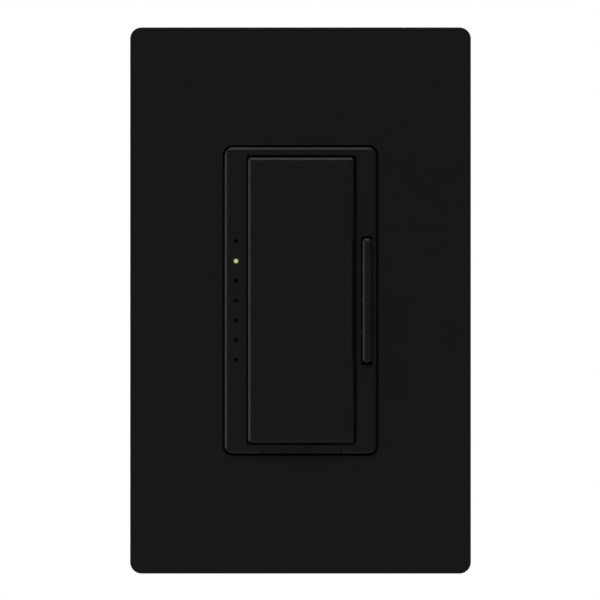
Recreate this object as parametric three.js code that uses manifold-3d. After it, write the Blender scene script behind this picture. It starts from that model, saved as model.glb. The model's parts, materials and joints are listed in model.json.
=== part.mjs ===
// A one-gang wall dimmer with a tap paddle, a raise/lower rocker, seven level lights, a pull-out
// air-gap tab and a screwless wall plate. Millimetres. +Z is up, +X is right as seen from the room,
// and the front faces -Y. The wall surface is the plane y = 0, with the plate's centre at the origin.

import * as THREE from "three";
import { mergeVertices } from "three/addons/utils/BufferGeometryUtils.js";
import Module from "manifold-3d";

// ---------------------------------------------------------------- driving dimensions

const GAP = 0.1; // air left between neighbours that rest on each other
const REACH = 1; // how far a cutting solid runs past the surface it opens

// Wall plate
const PLATE_WIDTH = 74.3;
const PLATE_HEIGHT = 119.1;
const PLATE_FRONT = -7.6;
const PLATE_FACE = 2.2;
const PLATE_WALL = 2;
const PLATE_RADIUS = 2.5;
const PLATE_EDGE = 0.5;
const OPENING_WIDTH = 33.8;
const OPENING_HEIGHT = 67.5;
const OPENING_RADIUS = 2;
const HOOK_HEIGHT = 8;
const HOOK_Z = 30;
const PRY_NOTCH_WIDTH = 12;

// Adapter that the plate snaps onto
const ADAPTER_WIDTH = 68;
const ADAPTER_HEIGHT = 112;
const ADAPTER_FRONT = -4.6;
const ADAPTER_BACK = -1.6;
const ADAPTER_SHEET = 1.4;
const ADAPTER_OPENING_WIDTH = 33.2;
const ADAPTER_OPENING_HEIGHT = 66.9;
const ADAPTER_OPENING_RADIUS = 1.7;
const ADAPTER_WALL = 1.4;

// Fixing centres above and below the middle
const BOX_SCREW_Z = 41.65;
const ADAPTER_SCREW_Z = 48.4;
const BOX_SCREW_ACCESS = 4.2;

// Bezel
const BEZEL_WIDTH = 33;
const BEZEL_HEIGHT = 66.7;
const BEZEL_RADIUS = 1.65;
const BEZEL_FRONT = -8.8;
const BEZEL_FACE = 1.5;
const BEZEL_BACK = -1.75;
const BEZEL_WALL = 1.2;
const BEZEL_RIGHT_WALL = 0.75;
const BEZEL_BEVEL = 0.52;
const WINDOW_WIDTH = 24;
const WINDOW_HEIGHT = 63.05;
const WINDOW_X = 0.2;
const WINDOW_Z = 0.125;
const BEZEL_LEG_Z = 24;

// Tap paddle
const PADDLE_WIDTH = 23.05;
const PADDLE_HEIGHT = 62.05;
const PADDLE_X = 0.125;
const PADDLE_Z = 0.075;
const PADDLE_FRONT = -9.7;
const PADDLE_FACE = 1.4;
const PADDLE_BACK = -6.4;
const PADDLE_WALL = 1.2;
const PADDLE_BEVEL = 0.52;
const PADDLE_RADIUS = 0.55;
const PIVOT_Y = -5.4;
const PIVOT_Z = 28.5;
const TRUNNION_RADIUS = 1;
const TAP_Z = 9.5;

// Raise/lower rocker
const ROCKER_X = 14.45;
const ROCKER_WIDTH = 1.9;
const ROCKER_HEIGHT = 27;
const ROCKER_FRONT = -10.5;
const ROCKER_BACK = -7.7;
const ROCKER_SLOT_WIDTH = 2.5;
const ROCKER_SLOT_HEIGHT = 28;
const ROCKER_PIN_Y = -6.5;
const ROCKER_PIN_RADIUS = 0.5;
const ROCKER_LEG_Z = 7;
const ROCKER_LEG_TIP = -6.25;

// Level lights
const LIGHT_COUNT = 7;
const LIGHT_PITCH = 4.3;
const LIGHT_X = -14.05;
const LIGHT_HOLE_RADIUS = 0.45;
const LIGHT_POST_RADIUS = 0.38;

// Air-gap tab and switch
const TAB_WIDTH = 17.5;
const TAB_BOTTOM = -33.3;
const TAB_TOP = -31.45;
const TAB_BACK = -5.35;
const TAB_ARM_LEFT = 1;
const TAB_ARM_RIGHT = 6;
const TAB_ARM_BOTTOM = -32.5;
const TAB_ARM_TOP = -31.5;
const LEAF_ROOT_X = -14;
const LEAF_TIP_X = 8;
const LEAF_Y = 5.2;
const LEAF_THICK = 0.4;
const LEAF_BOTTOM = -31;
const LEAF_TOP = -27.5;

// Yoke
const YOKE_THICK = 1.5;
const YOKE_WIDTH = 62;
const YOKE_BODY_HEIGHT = 74;
const YOKE_EAR_WIDTH = 40;
const YOKE_HEIGHT = 106.4;

// Boards
const CONTROL_BOARD_FRONT = -3.6;
const CONTROL_BOARD_BACK = -2;
const POWER_BOARD_FRONT = 9;
const POWER_BOARD_BACK = 10.6;
const HEADER_WIDTH = 10.2;
const HEADER_Z = -17.5;
const HEADER_WINDOW_WIDTH = 13;
const HEADER_WINDOW_HEIGHT = 7;
const TRIAC_X = -9;
const TRIAC_HOLE_Z = 14.6;
const CHOKE_Y = 16;
const CHOKE_Z = -19;

// Housing
const HOUSING_WIDTH = 44;
const HOUSING_HEIGHT = 70;
const HOUSING_FRONT = 0.1;
const HOUSING_BACK = 29;
const HOUSING_WALL = 1.8;
const HOUSING_SCREW_X = 18.2;
const HOUSING_SCREW_Z = 31.2;
const TERMINAL_Z = 14;
const TERMINAL_Y = 13;
const POCKET_FLOOR_X = 17;

// ---------------------------------------------------------------- shape vocabulary

const wasm = await Module();
wasm.setup();

// The manifold solid that a closed three.js geometry bounds.
function toSolid(geometry) {
  const bare = geometry.clone();
  bare.deleteAttribute("normal");
  bare.deleteAttribute("uv");
  const merged = mergeVertices(bare, 1e-4);
  return new wasm.Manifold(
    new wasm.Mesh({
      numProp: 3,
      vertProperties: merged.attributes.position.array,
      triVerts: new Uint32Array(merged.index.array),
    }),
  );
}

// The three.js geometry of a manifold solid, shaded flat.
function toGeometry(solid) {
  const mesh = solid.getMesh();
  const indexed = new THREE.BufferGeometry();
  indexed.setAttribute("position", new THREE.BufferAttribute(mesh.vertProperties, mesh.numProp));
  indexed.setIndex(new THREE.BufferAttribute(mesh.triVerts, 1));
  const flat = indexed.toNonIndexed();
  flat.computeVertexNormals();
  return flat;
}

// A box between two limits on each axis.
function block([left, right], [front, back], [bottom, top]) {
  const geometry = new THREE.BoxGeometry(right - left, back - front, top - bottom);
  geometry.translate((left + right) / 2, (front + back) / 2, (bottom + top) / 2);
  return toSolid(geometry);
}

// Turns a geometry made along +Y onto another axis, then moves it to its two cross coordinates.
function placeAlong(geometry, axis, [first, second]) {
  if (axis === "x") geometry.rotateZ(-Math.PI / 2).translate(0, first, second);
  if (axis === "y") geometry.translate(first, 0, second);
  if (axis === "z") geometry.rotateX(Math.PI / 2).translate(first, second, 0);
  return toSolid(geometry);
}

// A round rod along an axis between two positions.
function rod(axis, radius, [from, to], centre, segments = 16) {
  const geometry = new THREE.CylinderGeometry(radius, radius, to - from, segments);
  geometry.translate(0, (from + to) / 2, 0);
  return placeAlong(geometry, axis, centre);
}

// A turned solid: profile points are [radius, position], rising along the axis from axis to axis.
function turned(axis, profile, centre, segments = 20) {
  const points = profile.map(([radius, position]) => new THREE.Vector2(radius, position));
  return placeAlong(new THREE.LatheGeometry(points, segments), axis, centre);
}

// A closed skin through loops of equal length, capped flat at both ends. The loops run anticlockwise
// as seen from the last one.
function skin(loops) {
  const count = loops[0].length;
  const last = (loops.length - 1) * count;
  const triangles = [];
  for (let start = 0; start < last; start += count) {
    for (let j = 0; j < count; j += 1) {
      const a = start + j;
      const b = start + ((j + 1) % count);
      triangles.push(a, b, a + count, b, b + count, a + count);
    }
  }
  for (let j = 1; j < count - 1; j += 1) {
    triangles.push(0, j + 1, j, last, last + j, last + j + 1);
  }
  const geometry = new THREE.BufferGeometry();
  geometry.setAttribute("position", new THREE.Float32BufferAttribute(loops.flat(2), 3));
  geometry.setIndex(triangles);
  return toSolid(geometry);
}

// The corner-rounded outline of a slab at one depth.
function roundedLoop(width, height, radius, y, [centreX, centreZ], steps) {
  const loop = [];
  for (const [quarter, sideX, sideZ] of [
    [0, 1, 1],
    [1, -1, 1],
    [2, -1, -1],
    [3, 1, -1],
  ]) {
    for (let step = 0; step <= steps; step += 1) {
      const angle = ((quarter + step / steps) * Math.PI) / 2;
      loop.push([
        centreX + sideX * (width / 2 - radius) + radius * Math.cos(angle),
        y,
        centreZ + sideZ * (height / 2 - radius) + radius * Math.sin(angle),
      ]);
    }
  }
  return loop;
}

// A slab seen from the front: levels are [depth, inset], from the back forwards.
function slab(width, height, radius, levels, centre = [0, 0], steps = 4) {
  return skin(
    levels.map(([y, inset]) =>
      roundedLoop(
        width - 2 * inset,
        height - 2 * inset,
        Math.max(radius - inset, radius / 4),
        y,
        centre,
        steps,
      ),
    ),
  );
}

// One solid from many that touch or overlap.
function joined(solids) {
  return solids.reduce((whole, next) => whole.add(next));
}

// One solid with every cutter taken away.
function cut(solid, cutters) {
  return cutters.reduce((rest, cutter) => rest.subtract(cutter), solid);
}

function mirroredX(solid) {
  return solid.mirror([1, 0, 0]);
}

// A cross-shaped driver recess, cut from an end at y towards +Y.
function crossRecess(x, z, y, depth, span, width) {
  const half = span / 2;
  const thin = width / 2;
  return [
    block([x - half, x + half], [y - REACH, y + depth], [z - thin, z + thin]),
    block([x - thin, x + thin], [y - REACH, y + depth], [z - half, z + half]),
  ];
}

// ---------------------------------------------------------------- finishes

const BLACK_PLASTIC = { color: 0x17181a, roughness: 0.45, metalness: 0 };
const SMOKE_PLASTIC = { color: 0x1c1f18, roughness: 0.2, metalness: 0 };
const LED_RESIN = { color: 0xdfe2cc, roughness: 0.3, metalness: 0 };
const HOUSING_PLASTIC = { color: 0x1c1c1e, roughness: 0.6, metalness: 0 };
const ALUMINIUM = { color: 0xb9bcc0, roughness: 0.4, metalness: 1 };
const STEEL = { color: 0xa8abae, roughness: 0.35, metalness: 1 };
const BRASS = { color: 0xc9a24a, roughness: 0.35, metalness: 1 };
const BLACK_OXIDE = { color: 0x202124, roughness: 0.4, metalness: 1 };
const BLUE_PAINT = { color: 0x244c9c, roughness: 0.4, metalness: 0 };
const GREEN_PAINT = { color: 0x2f7d3a, roughness: 0.4, metalness: 0 };
const BOARD_GREEN = { color: 0x1f5c38, roughness: 0.5, metalness: 0 };
const BOARD_BLACK = { color: 0x181a1a, roughness: 0.5, metalness: 0 };
const FIBRE = { color: 0xb49a6c, roughness: 0.8, metalness: 0 };
const FILM = { color: 0xe4dfc6, roughness: 0.5, metalness: 0 };
const COPPER = { color: 0xb8673a, roughness: 0.35, metalness: 1 };
const FERRITE = { color: 0x3a3b3d, roughness: 0.7, metalness: 0 };
const CAPACITOR_YELLOW = { color: 0xd8a92c, roughness: 0.5, metalness: 0 };
const SLEEVE_BLUE = { color: 0x20356e, roughness: 0.4, metalness: 0 };
const DISC_BLUE = { color: 0x2c66b0, roughness: 0.5, metalness: 0 };
const CERAMIC_WHITE = { color: 0xe8e6e0, roughness: 0.4, metalness: 0 };

const dimmer = new THREE.Group();
dimmer.name = "dimmer";

function addPiece(name, solid, finish) {
  const mesh = new THREE.Mesh(toGeometry(solid), new THREE.MeshStandardMaterial(finish));
  mesh.name = name;
  dimmer.add(mesh);
}

// ---------------------------------------------------------------- wall plate and adapter

function wallPlate() {
  const shell = slab(PLATE_WIDTH, PLATE_HEIGHT, PLATE_RADIUS, [
    [0, 0],
    [PLATE_FRONT + PLATE_EDGE, 0],
    [PLATE_FRONT, PLATE_EDGE],
  ]);
  const innerFace = PLATE_FRONT + PLATE_FACE;
  const innerWidth = PLATE_WIDTH - 2 * PLATE_WALL;
  const innerHeight = PLATE_HEIGHT - 2 * PLATE_WALL;
  const cavity = slab(innerWidth, innerHeight, 1, [[REACH, 0], [innerFace, 0]]);
  const opening = slab(OPENING_WIDTH, OPENING_HEIGHT, OPENING_RADIUS, [
    [REACH, 0],
    [PLATE_FRONT - REACH, 0],
  ]);
  const rim = slab(OPENING_WIDTH + 2.4, OPENING_HEIGHT + 2.4, OPENING_RADIUS, [
    [innerFace + 0.6, 0],
    [innerFace - 0.2, 0],
  ]);
  const hookRoot = innerWidth / 2;
  const hooks = [-HOOK_Z, HOOK_Z].map((z) =>
    block(
      [ADAPTER_WIDTH / 2 + 0.25, hookRoot + 0.2],
      [-1.5, -0.5],
      [z - HOOK_HEIGHT / 2, z + HOOK_HEIGHT / 2],
    ),
  );
  const pryNotch = block(
    [-PRY_NOTCH_WIDTH / 2, PRY_NOTCH_WIDTH / 2],
    [-1.3, REACH],
    [-PLATE_HEIGHT / 2 - REACH, -PLATE_HEIGHT / 2 + PLATE_WALL + 0.5],
  );
  const hollow = cut(shell, [cavity]);
  const whole = joined([hollow, rim, ...hooks, ...hooks.map(mirroredX)]);
  return cut(whole, [opening, pryNotch]);
}

function plateAdapter() {
  const sheetBack = ADAPTER_FRONT + ADAPTER_SHEET;
  const sheet = slab(ADAPTER_WIDTH, ADAPTER_HEIGHT, 2, [[ADAPTER_BACK, 0], [ADAPTER_FRONT, 0]]);
  const hollow = block(
    [ADAPTER_WALL - ADAPTER_WIDTH / 2, ADAPTER_WIDTH / 2 - ADAPTER_WALL],
    [sheetBack, REACH],
    [ADAPTER_WALL - ADAPTER_HEIGHT / 2, ADAPTER_HEIGHT / 2 - ADAPTER_WALL],
  );
  const rim = slab(ADAPTER_OPENING_WIDTH + 3, ADAPTER_OPENING_HEIGHT + 3, 2, [
    [ADAPTER_BACK, 0],
    [sheetBack - 0.2, 0],
  ]);
  const opening = slab(
    ADAPTER_OPENING_WIDTH,
    ADAPTER_OPENING_HEIGHT,
    ADAPTER_OPENING_RADIUS,
    [[REACH, 0], [ADAPTER_FRONT - REACH, 0]],
  );
  const countersink = [
    [0, ADAPTER_FRONT - 0.5],
    [3.65, ADAPTER_FRONT - 0.5],
    [3.65, ADAPTER_FRONT + 0.35],
    [1.65, -2.45],
    [1.65, 0],
    [0, 0],
  ];
  const bosses = [];
  const holes = [opening];
  for (const side of [-1, 1]) {
    const screwZ = side * ADAPTER_SCREW_Z;
    bosses.push(rod("y", 4.6, [sheetBack - 0.2, ADAPTER_BACK], [0, screwZ], 16));
    holes.push(
      turned("y", countersink, [0, screwZ], 20),
      rod("y", BOX_SCREW_ACCESS, [ADAPTER_FRONT - REACH, 0], [0, side * (BOX_SCREW_Z - 0.6)], 20),
    );
  }
  return cut(joined([cut(sheet, [hollow]), rim, ...bosses]), holes);
}

function adapterScrew(side) {
  const z = side * ADAPTER_SCREW_Z;
  const head = ADAPTER_FRONT + 0.05;
  const body = turned(
    "y",
    [[0, head], [3.45, head], [3.45, head + 0.2], [1.45, -2.55], [1.45, -0.6], [1.1, -0.2], [0, -0.2]],
    [0, z],
  );
  return cut(body, crossRecess(0, z, head, 1.1, 3.4, 0.7));
}

// ---------------------------------------------------------------- bezel

function lightPositions() {
  const top = ((LIGHT_COUNT - 1) / 2) * LIGHT_PITCH;
  return Array.from({ length: LIGHT_COUNT }, (_, index) => top - index * LIGHT_PITCH);
}

// A lug with a bore along X that opens backwards through a narrower mouth.
function snapSocket([left, right]) {
  const lug = block(
    [left, right],
    [BEZEL_FRONT + BEZEL_FACE - 0.2, PIVOT_Y + 1.5],
    [PIVOT_Z - 1.9, PIVOT_Z + 1.9],
  );
  return cut(lug, [
    rod("x", TRUNNION_RADIUS + 0.15, [left - REACH, right + REACH], [PIVOT_Y, PIVOT_Z], 16),
    block([left - REACH, right + REACH], [PIVOT_Y, PIVOT_Y + 3], [PIVOT_Z - 0.9, PIVOT_Z + 0.9]),
  ]);
}

function bezel() {
  const halfWidth = BEZEL_WIDTH / 2;
  const halfHeight = BEZEL_HEIGHT / 2;
  const faceBack = BEZEL_FRONT + BEZEL_FACE;
  const shell = slab(BEZEL_WIDTH, BEZEL_HEIGHT, BEZEL_RADIUS, [
    [BEZEL_BACK, 0],
    [BEZEL_FRONT + BEZEL_BEVEL, 0],
    [BEZEL_FRONT + 0.18, 0.18],
    [BEZEL_FRONT, BEZEL_BEVEL],
  ]);
  const cavity = block(
    [-halfWidth + BEZEL_WALL, halfWidth - BEZEL_RIGHT_WALL],
    [faceBack, REACH],
    [-halfHeight + BEZEL_WALL, halfHeight - BEZEL_WALL],
  );
  const through = [[REACH, 0], [BEZEL_FRONT - REACH, 0]];
  const windowCut = slab(WINDOW_WIDTH, WINDOW_HEIGHT, 0.5, through, [WINDOW_X, WINDOW_Z]);
  const slot = slab(
    ROCKER_SLOT_WIDTH,
    ROCKER_SLOT_HEIGHT,
    0.4,
    [[faceBack + 0.5, 0], [BEZEL_FRONT - REACH, 0]],
    [ROCKER_X, 0],
    2,
  );
  const lightHoles = lightPositions().map((z) =>
    rod("y", LIGHT_HOLE_RADIUS, [BEZEL_FRONT - REACH, faceBack + REACH], [LIGHT_X, z], 12),
  );
  const tabNotch = block(
    [WINDOW_X - TAB_WIDTH / 2 - GAP, WINDOW_X + TAB_WIDTH / 2 + GAP],
    [BEZEL_FRONT - REACH, TAB_BACK + 0.15],
    [-halfHeight - REACH, TAB_TOP + GAP],
  );
  const armRelief = block(
    [TAB_ARM_LEFT - 0.2, TAB_ARM_RIGHT + 0.2],
    [TAB_BACK, 0],
    [TAB_ARM_BOTTOM - 0.15, -halfHeight + BEZEL_WALL + GAP],
  );
  // The ribs stop just in front of the control board and hold it against the yoke.
  const ribs = [-20, 20].flatMap((z) => [
    block([-halfWidth + 0.6, -14.6], [faceBack - 0.2, CONTROL_BOARD_FRONT - GAP], [z - 1.5, z + 1.5]),
    block([15, halfWidth - 0.4], [faceBack - 0.2, CONTROL_BOARD_FRONT - GAP], [z - 1.5, z + 1.5]),
  ]);
  const legs = [-BEZEL_LEG_Z, BEZEL_LEG_Z].map((z) =>
    joined([
      block([halfWidth - BEZEL_RIGHT_WALL, halfWidth], [BEZEL_BACK - 0.5, 1.3], [z - 2.5, z + 2.5]),
      block([halfWidth - 0.3, halfWidth + 0.5], [0.15, 1], [z - 2.5, z + 2.5]),
    ]),
  );
  const pinLug = block([12.35, 13.2], [faceBack - 0.2, ROCKER_PIN_Y + 0.95], [-1.3, 1.3]);
  const pinBore = rod("x", ROCKER_PIN_RADIUS + 0.1, [12, halfWidth - 0.35], [ROCKER_PIN_Y, 0], 12);
  const hollow = cut(shell, [cavity, windowCut]);
  const whole = joined([
    hollow,
    ...ribs,
    ...legs,
    ...legs.map(mirroredX),
    snapSocket([-13.6, -12.1]),
    snapSocket([12.4, 13.9]),
    pinLug,
  ]);
  return cut(whole, [slot, ...lightHoles, tabNotch, armRelief, pinBore]);
}

// ---------------------------------------------------------------- paddle, rocker, light pipe

function tapPaddle() {
  const left = PADDLE_X - PADDLE_WIDTH / 2;
  const right = PADDLE_X + PADDLE_WIDTH / 2;
  const bottom = PADDLE_Z - PADDLE_HEIGHT / 2;
  const top = PADDLE_Z + PADDLE_HEIGHT / 2;
  const inner = PADDLE_FRONT + PADDLE_FACE;
  const shell = slab(
    PADDLE_WIDTH,
    PADDLE_HEIGHT,
    PADDLE_RADIUS,
    [
      [PADDLE_BACK, 0],
      [PADDLE_FRONT + PADDLE_BEVEL, 0],
      [PADDLE_FRONT + 0.18, 0.18],
      [PADDLE_FRONT, PADDLE_BEVEL],
    ],
    [PADDLE_X, PADDLE_Z],
    3,
  );
  const hollow = block(
    [left + PADDLE_WALL, right - PADDLE_WALL],
    [inner, REACH],
    [bottom + PADDLE_WALL, top - PADDLE_WALL],
  );
  const earBack = PIVOT_Y + 1.2;
  const ears = [
    block([left, left + PADDLE_WALL], [PADDLE_BACK - 0.2, earBack], [PIVOT_Z - 1.9, PIVOT_Z + 1.9]),
    block([right - PADDLE_WALL, right], [PADDLE_BACK - 0.2, earBack], [PIVOT_Z - 1.9, PIVOT_Z + 1.9]),
    rod("x", TRUNNION_RADIUS, [-13.4, left + 0.2], [PIVOT_Y, PIVOT_Z]),
    rod("x", TRUNNION_RADIUS, [right - 0.2, 13.7], [PIVOT_Y, PIVOT_Z]),
  ];
  const pushPost = rod("y", 1.6, [inner - 0.2, -8.1], [PADDLE_X, TAP_Z]);
  const stiffeners = [-24, -8, 22].map((z) =>
    block([left + 0.6, right - 0.6], [inner - 0.2, inner + 0.9], [z - 0.5, z + 0.5]),
  );
  // A lip closes the gap below the paddle, and two catches behind the bezel's bottom strip stop the
  // paddle's forward swing.
  const catches = [
    block([left + GAP, right - GAP], [-7.1, PADDLE_BACK], [TAB_TOP + GAP, bottom + 0.3]),
    block([left + GAP, left + 1.9], [-7.1, PADDLE_BACK], [bottom - 0.85, bottom + 0.3]),
    block([right - 1.9, right - GAP], [-7.1, PADDLE_BACK], [bottom - 0.85, bottom + 0.3]),
  ];
  return joined([cut(shell, [hollow]), ...ears, pushPost, ...stiffeners, ...catches]);
}

function dimRocker() {
  const bar = slab(
    ROCKER_WIDTH,
    ROCKER_HEIGHT,
    0.6,
    [
      [ROCKER_BACK, 0],
      [ROCKER_FRONT + 0.5, 0],
      [ROCKER_FRONT + 0.15, 0.15],
      [ROCKER_FRONT, 0.5],
    ],
    [ROCKER_X, 0],
    3,
  );
  const left = ROCKER_X - ROCKER_WIDTH / 2;
  const right = ROCKER_X + ROCKER_WIDTH / 2;
  const boss = block([left, right], [ROCKER_BACK - 0.2, ROCKER_PIN_Y + 0.7], [-1.1, 1.1]);
  const legs = [-ROCKER_LEG_Z, ROCKER_LEG_Z].map((z) =>
    block([left, left + 1.3], [ROCKER_BACK - 0.2, ROCKER_LEG_TIP], [z - 0.6, z + 0.6]),
  );
  const bore = rod("x", ROCKER_PIN_RADIUS + 0.1, [12, 17], [ROCKER_PIN_Y, 0], 12);
  return cut(joined([bar, boss, ...legs]), [bore]);
}

function lightPipe() {
  const bar = block([LIGHT_X - 0.7, LIGHT_X + 0.8], [-6.6, -5.7], [-14.6, 14.6]);
  const posts = lightPositions().flatMap((z) => [
    rod("y", LIGHT_POST_RADIUS, [BEZEL_FRONT + 0.15, -6.5], [LIGHT_X, z], 8),
    rod("y", LIGHT_POST_RADIUS, [-5.8, -4.6], [LIGHT_X, z], 8),
  ]);
  return joined([bar, ...posts]);
}

// ---------------------------------------------------------------- air-gap switch

function airgapTab() {
  const left = WINDOW_X - TAB_WIDTH / 2;
  const right = WINDOW_X + TAB_WIDTH / 2;
  const arm = [TAB_ARM_LEFT, TAB_ARM_RIGHT];
  const head = block([left, right], [BEZEL_FRONT, TAB_BACK], [TAB_BOTTOM, TAB_TOP]);
  const nailGroove = block([left + 3, right - 3], [-7.9, -7], [TAB_BOTTOM - REACH, TAB_BOTTOM + 0.5]);
  return joined([
    cut(head, [nailGroove]),
    block(arm, [TAB_BACK - 0.2, 6.5], [TAB_ARM_BOTTOM, TAB_ARM_TOP]),
    block([LEAF_ROOT_X + 16, LEAF_ROOT_X + 19], [5.5, 6.5], [TAB_ARM_TOP - 0.2, -29.6]),
  ]);
}

function airgapLeaf() {
  const half = LEAF_THICK / 2;
  return joined([
    block([LEAF_ROOT_X + GAP, LEAF_TIP_X], [LEAF_Y - half, LEAF_Y + half], [LEAF_BOTTOM, LEAF_TOP]),
    rod("y", 1.2, [LEAF_Y, LEAF_Y + 0.7], [6.6, -28.9], 14),
  ]);
}

// The post stands on the power board and holds the leaf's root.
function airgapPost() {
  return joined([
    block([-15.1, LEAF_ROOT_X - GAP], [4.6, 5.8], [LEAF_BOTTOM, LEAF_TOP]),
    block([-14.7, LEAF_ROOT_X - GAP], [4.6, POWER_BOARD_FRONT - GAP], [LEAF_BOTTOM, LEAF_TOP]),
  ]);
}

function airgapContact() {
  return joined([
    block([5.4, 10.5], [6.1, 6.6], [-30.4, -27.4]),
    rod("y", 1.1, [6, 6.3], [6.7, -28.9], 14),
    block([9.9, 10.5], [6.1, POWER_BOARD_FRONT - GAP], [-30.4, -27.4]),
  ]);
}

// ---------------------------------------------------------------- yoke and its fixings

// The window through which the header joins the two boards.
function headerWindow() {
  return block(
    [-HEADER_WINDOW_WIDTH / 2, HEADER_WINDOW_WIDTH / 2],
    [-REACH - YOKE_THICK, REACH],
    [HEADER_Z - HEADER_WINDOW_HEIGHT / 2, HEADER_Z + HEADER_WINDOW_HEIGHT / 2],
  );
}

function yoke() {
  const levels = [[0, 0], [-YOKE_THICK, 0]];
  const body = slab(YOKE_WIDTH, YOKE_BODY_HEIGHT, 1.5, levels);
  const ears = slab(YOKE_EAR_WIDTH, YOKE_HEIGHT, 4, levels);
  const through = [-YOKE_THICK - REACH, REACH];
  const cuts = [];
  for (const side of [-1, 1]) {
    cuts.push(
      slab(6.5, 3.9, 1.9, [[REACH, 0], [-YOKE_THICK - REACH, 0]], [0, side * BOX_SCREW_Z]),
      rod("y", 1.6, through, [0, side * ADAPTER_SCREW_Z], 16),
    );
    // Scored lines on the front let the side fins be snapped off, in two widths.
    for (const x of [22.8, 26.9]) {
      cuts.push(
        block([side * x - 0.3, side * x + 0.3], [-YOKE_THICK - REACH, -0.8], [-38, 38]),
        block([side * x - 0.6, side * x + 0.6], through, [-3, 3]),
      );
    }
    for (const z of [-HOUSING_SCREW_Z, HOUSING_SCREW_Z]) {
      cuts.push(rod("y", 1.4, through, [side * HOUSING_SCREW_X, z], 12));
    }
    for (const z of [-BEZEL_LEG_Z, BEZEL_LEG_Z]) {
      cuts.push(block([side * 16.2 - 0.9, side * 16.2 + 0.9], through, [z - 2.8, z + 2.8]));
    }
  }
  cuts.push(
    headerWindow(),
    block([TAB_ARM_LEFT - 0.3, TAB_ARM_RIGHT + 0.3], through, [TAB_ARM_BOTTOM - 0.3, TAB_ARM_TOP + 0.3]),
    rod("y", 1.55, through, [TRIAC_X, TRIAC_HOLE_Z], 12),
  );
  return cut(joined([body, ears]), cuts);
}

function mountingScrew(side) {
  const z = side * BOX_SCREW_Z;
  const head = [[0, -3.6], [2, -3.55], [3.1, -3.1], [3.5, -2.4], [3.5, -1.6]];
  const shank = [[1.65, -1.6], [1.65, 18.4], [1.1, 19.4], [0, 19.4]];
  return cut(turned("y", [...head, ...shank], [0, z]), [
    ...crossRecess(0, z, -3.6, 1.1, 3.4, 0.7),
    block([-4, 4], [-3.6 - REACH, -3], [z - 0.45, z + 0.45]),
  ]);
}

function screwRetainer(side) {
  const z = side * BOX_SCREW_Z;
  return cut(slab(9, 9, 1.2, [[0.6, 0], [GAP, 0]], [0, z], 2), [
    rod("y", 1.75, [-REACH, 2], [0, z], 16),
  ]);
}

// ---------------------------------------------------------------- control board side

function insulatorSheet() {
  return cut(block([-15, 15.4], [-1.85, -1.65], [-31, 31.9]), [
    headerWindow(),
    rod("y", 2, [-3, 0], [TRIAC_X, TRIAC_HOLE_Z], 12),
  ]);
}

function controlBoard() {
  return slab(30.6, 62.8, 0.6, [[CONTROL_BOARD_BACK, 0], [CONTROL_BOARD_FRONT, 0]], [0.3, 0.45], 2);
}

// A surface-mount light: its base on the board and its lens in front.
function levelLight(z) {
  const base = CONTROL_BOARD_FRONT - GAP / 2;
  return joined([
    block([LIGHT_X - 0.4, LIGHT_X + 0.4], [base - 0.3, base], [z - 0.8, z + 0.8]),
    block([LIGHT_X - 0.4, LIGHT_X + 0.4], [base - 0.75, base - 0.2], [z - 0.5, z + 0.5]),
  ]);
}

// A push switch body on the board, bored from the front for its stem.
function switchBody(x, z, width, height, front, boreRadius, boreBack) {
  const base = CONTROL_BOARD_FRONT - GAP / 2;
  const body = slab(width, height, 0.3, [[base, 0], [front + 0.2, 0], [front, 0.2]], [x, z], 2);
  return cut(body, [rod("y", boreRadius, [front - REACH, boreBack], [x, z], 16)]);
}

function switchStem(x, z, radius, front, back) {
  const profile = [[0, front], [radius - 0.15, front], [radius, front + 0.15], [radius, back], [0, back]];
  return turned("y", profile, [x, z], 16);
}

function microcontroller() {
  const base = CONTROL_BOARD_FRONT - GAP / 2;
  const pins = [];
  for (const side of [-1, 1]) {
    for (let index = 0; index < 5; index += 1) {
      const z = -10.1 - index * 1.6;
      pins.push(
        block([side * 3 - 1.1, side * 3 + 1.1], [base - 0.25, base], [z - 0.2, z + 0.2]),
        block([side * 2.1 - 0.5, side * 2.1 + 0.5], [base - 0.9, base], [z - 0.2, z + 0.2]),
      );
    }
  }
  const body = block([-2.2, 2.2], [base - 1.5, base - 0.1], [-18, -8.6]);
  return joined([body, ...pins]);
}

// ---------------------------------------------------------------- power board side

function powerBoard() {
  const cuts = [];
  for (const side of [-1, 1]) {
    for (const end of [-1, 1]) {
      cuts.push(
        rod("y", 3.5, [8, 12], [side * HOUSING_SCREW_X, end * HOUSING_SCREW_Z]),
        block(
          side < 0 ? [-21, -15.4] : [15.4, 21],
          [8, 12],
          [end * TERMINAL_Z - 6.6, end * TERMINAL_Z + 6.6],
        ),
      );
    }
  }
  return cut(slab(39.2, 65.6, 1, [[POWER_BOARD_BACK, 0], [POWER_BOARD_FRONT, 0]], [0, 0], 2), cuts);
}

function boardHeader() {
  const pins = [-3.81, -1.27, 1.27, 3.81].map((x) =>
    block([x - 0.32, x + 0.32], [CONTROL_BOARD_BACK + GAP / 2, 3], [HEADER_Z - 0.32, HEADER_Z + 0.32]),
  );
  const body = block(
    [-HEADER_WIDTH / 2, HEADER_WIDTH / 2],
    [2, POWER_BOARD_FRONT - GAP],
    [HEADER_Z - 1.3, HEADER_Z + 1.3],
  );
  return joined([body, ...pins]);
}

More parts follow.
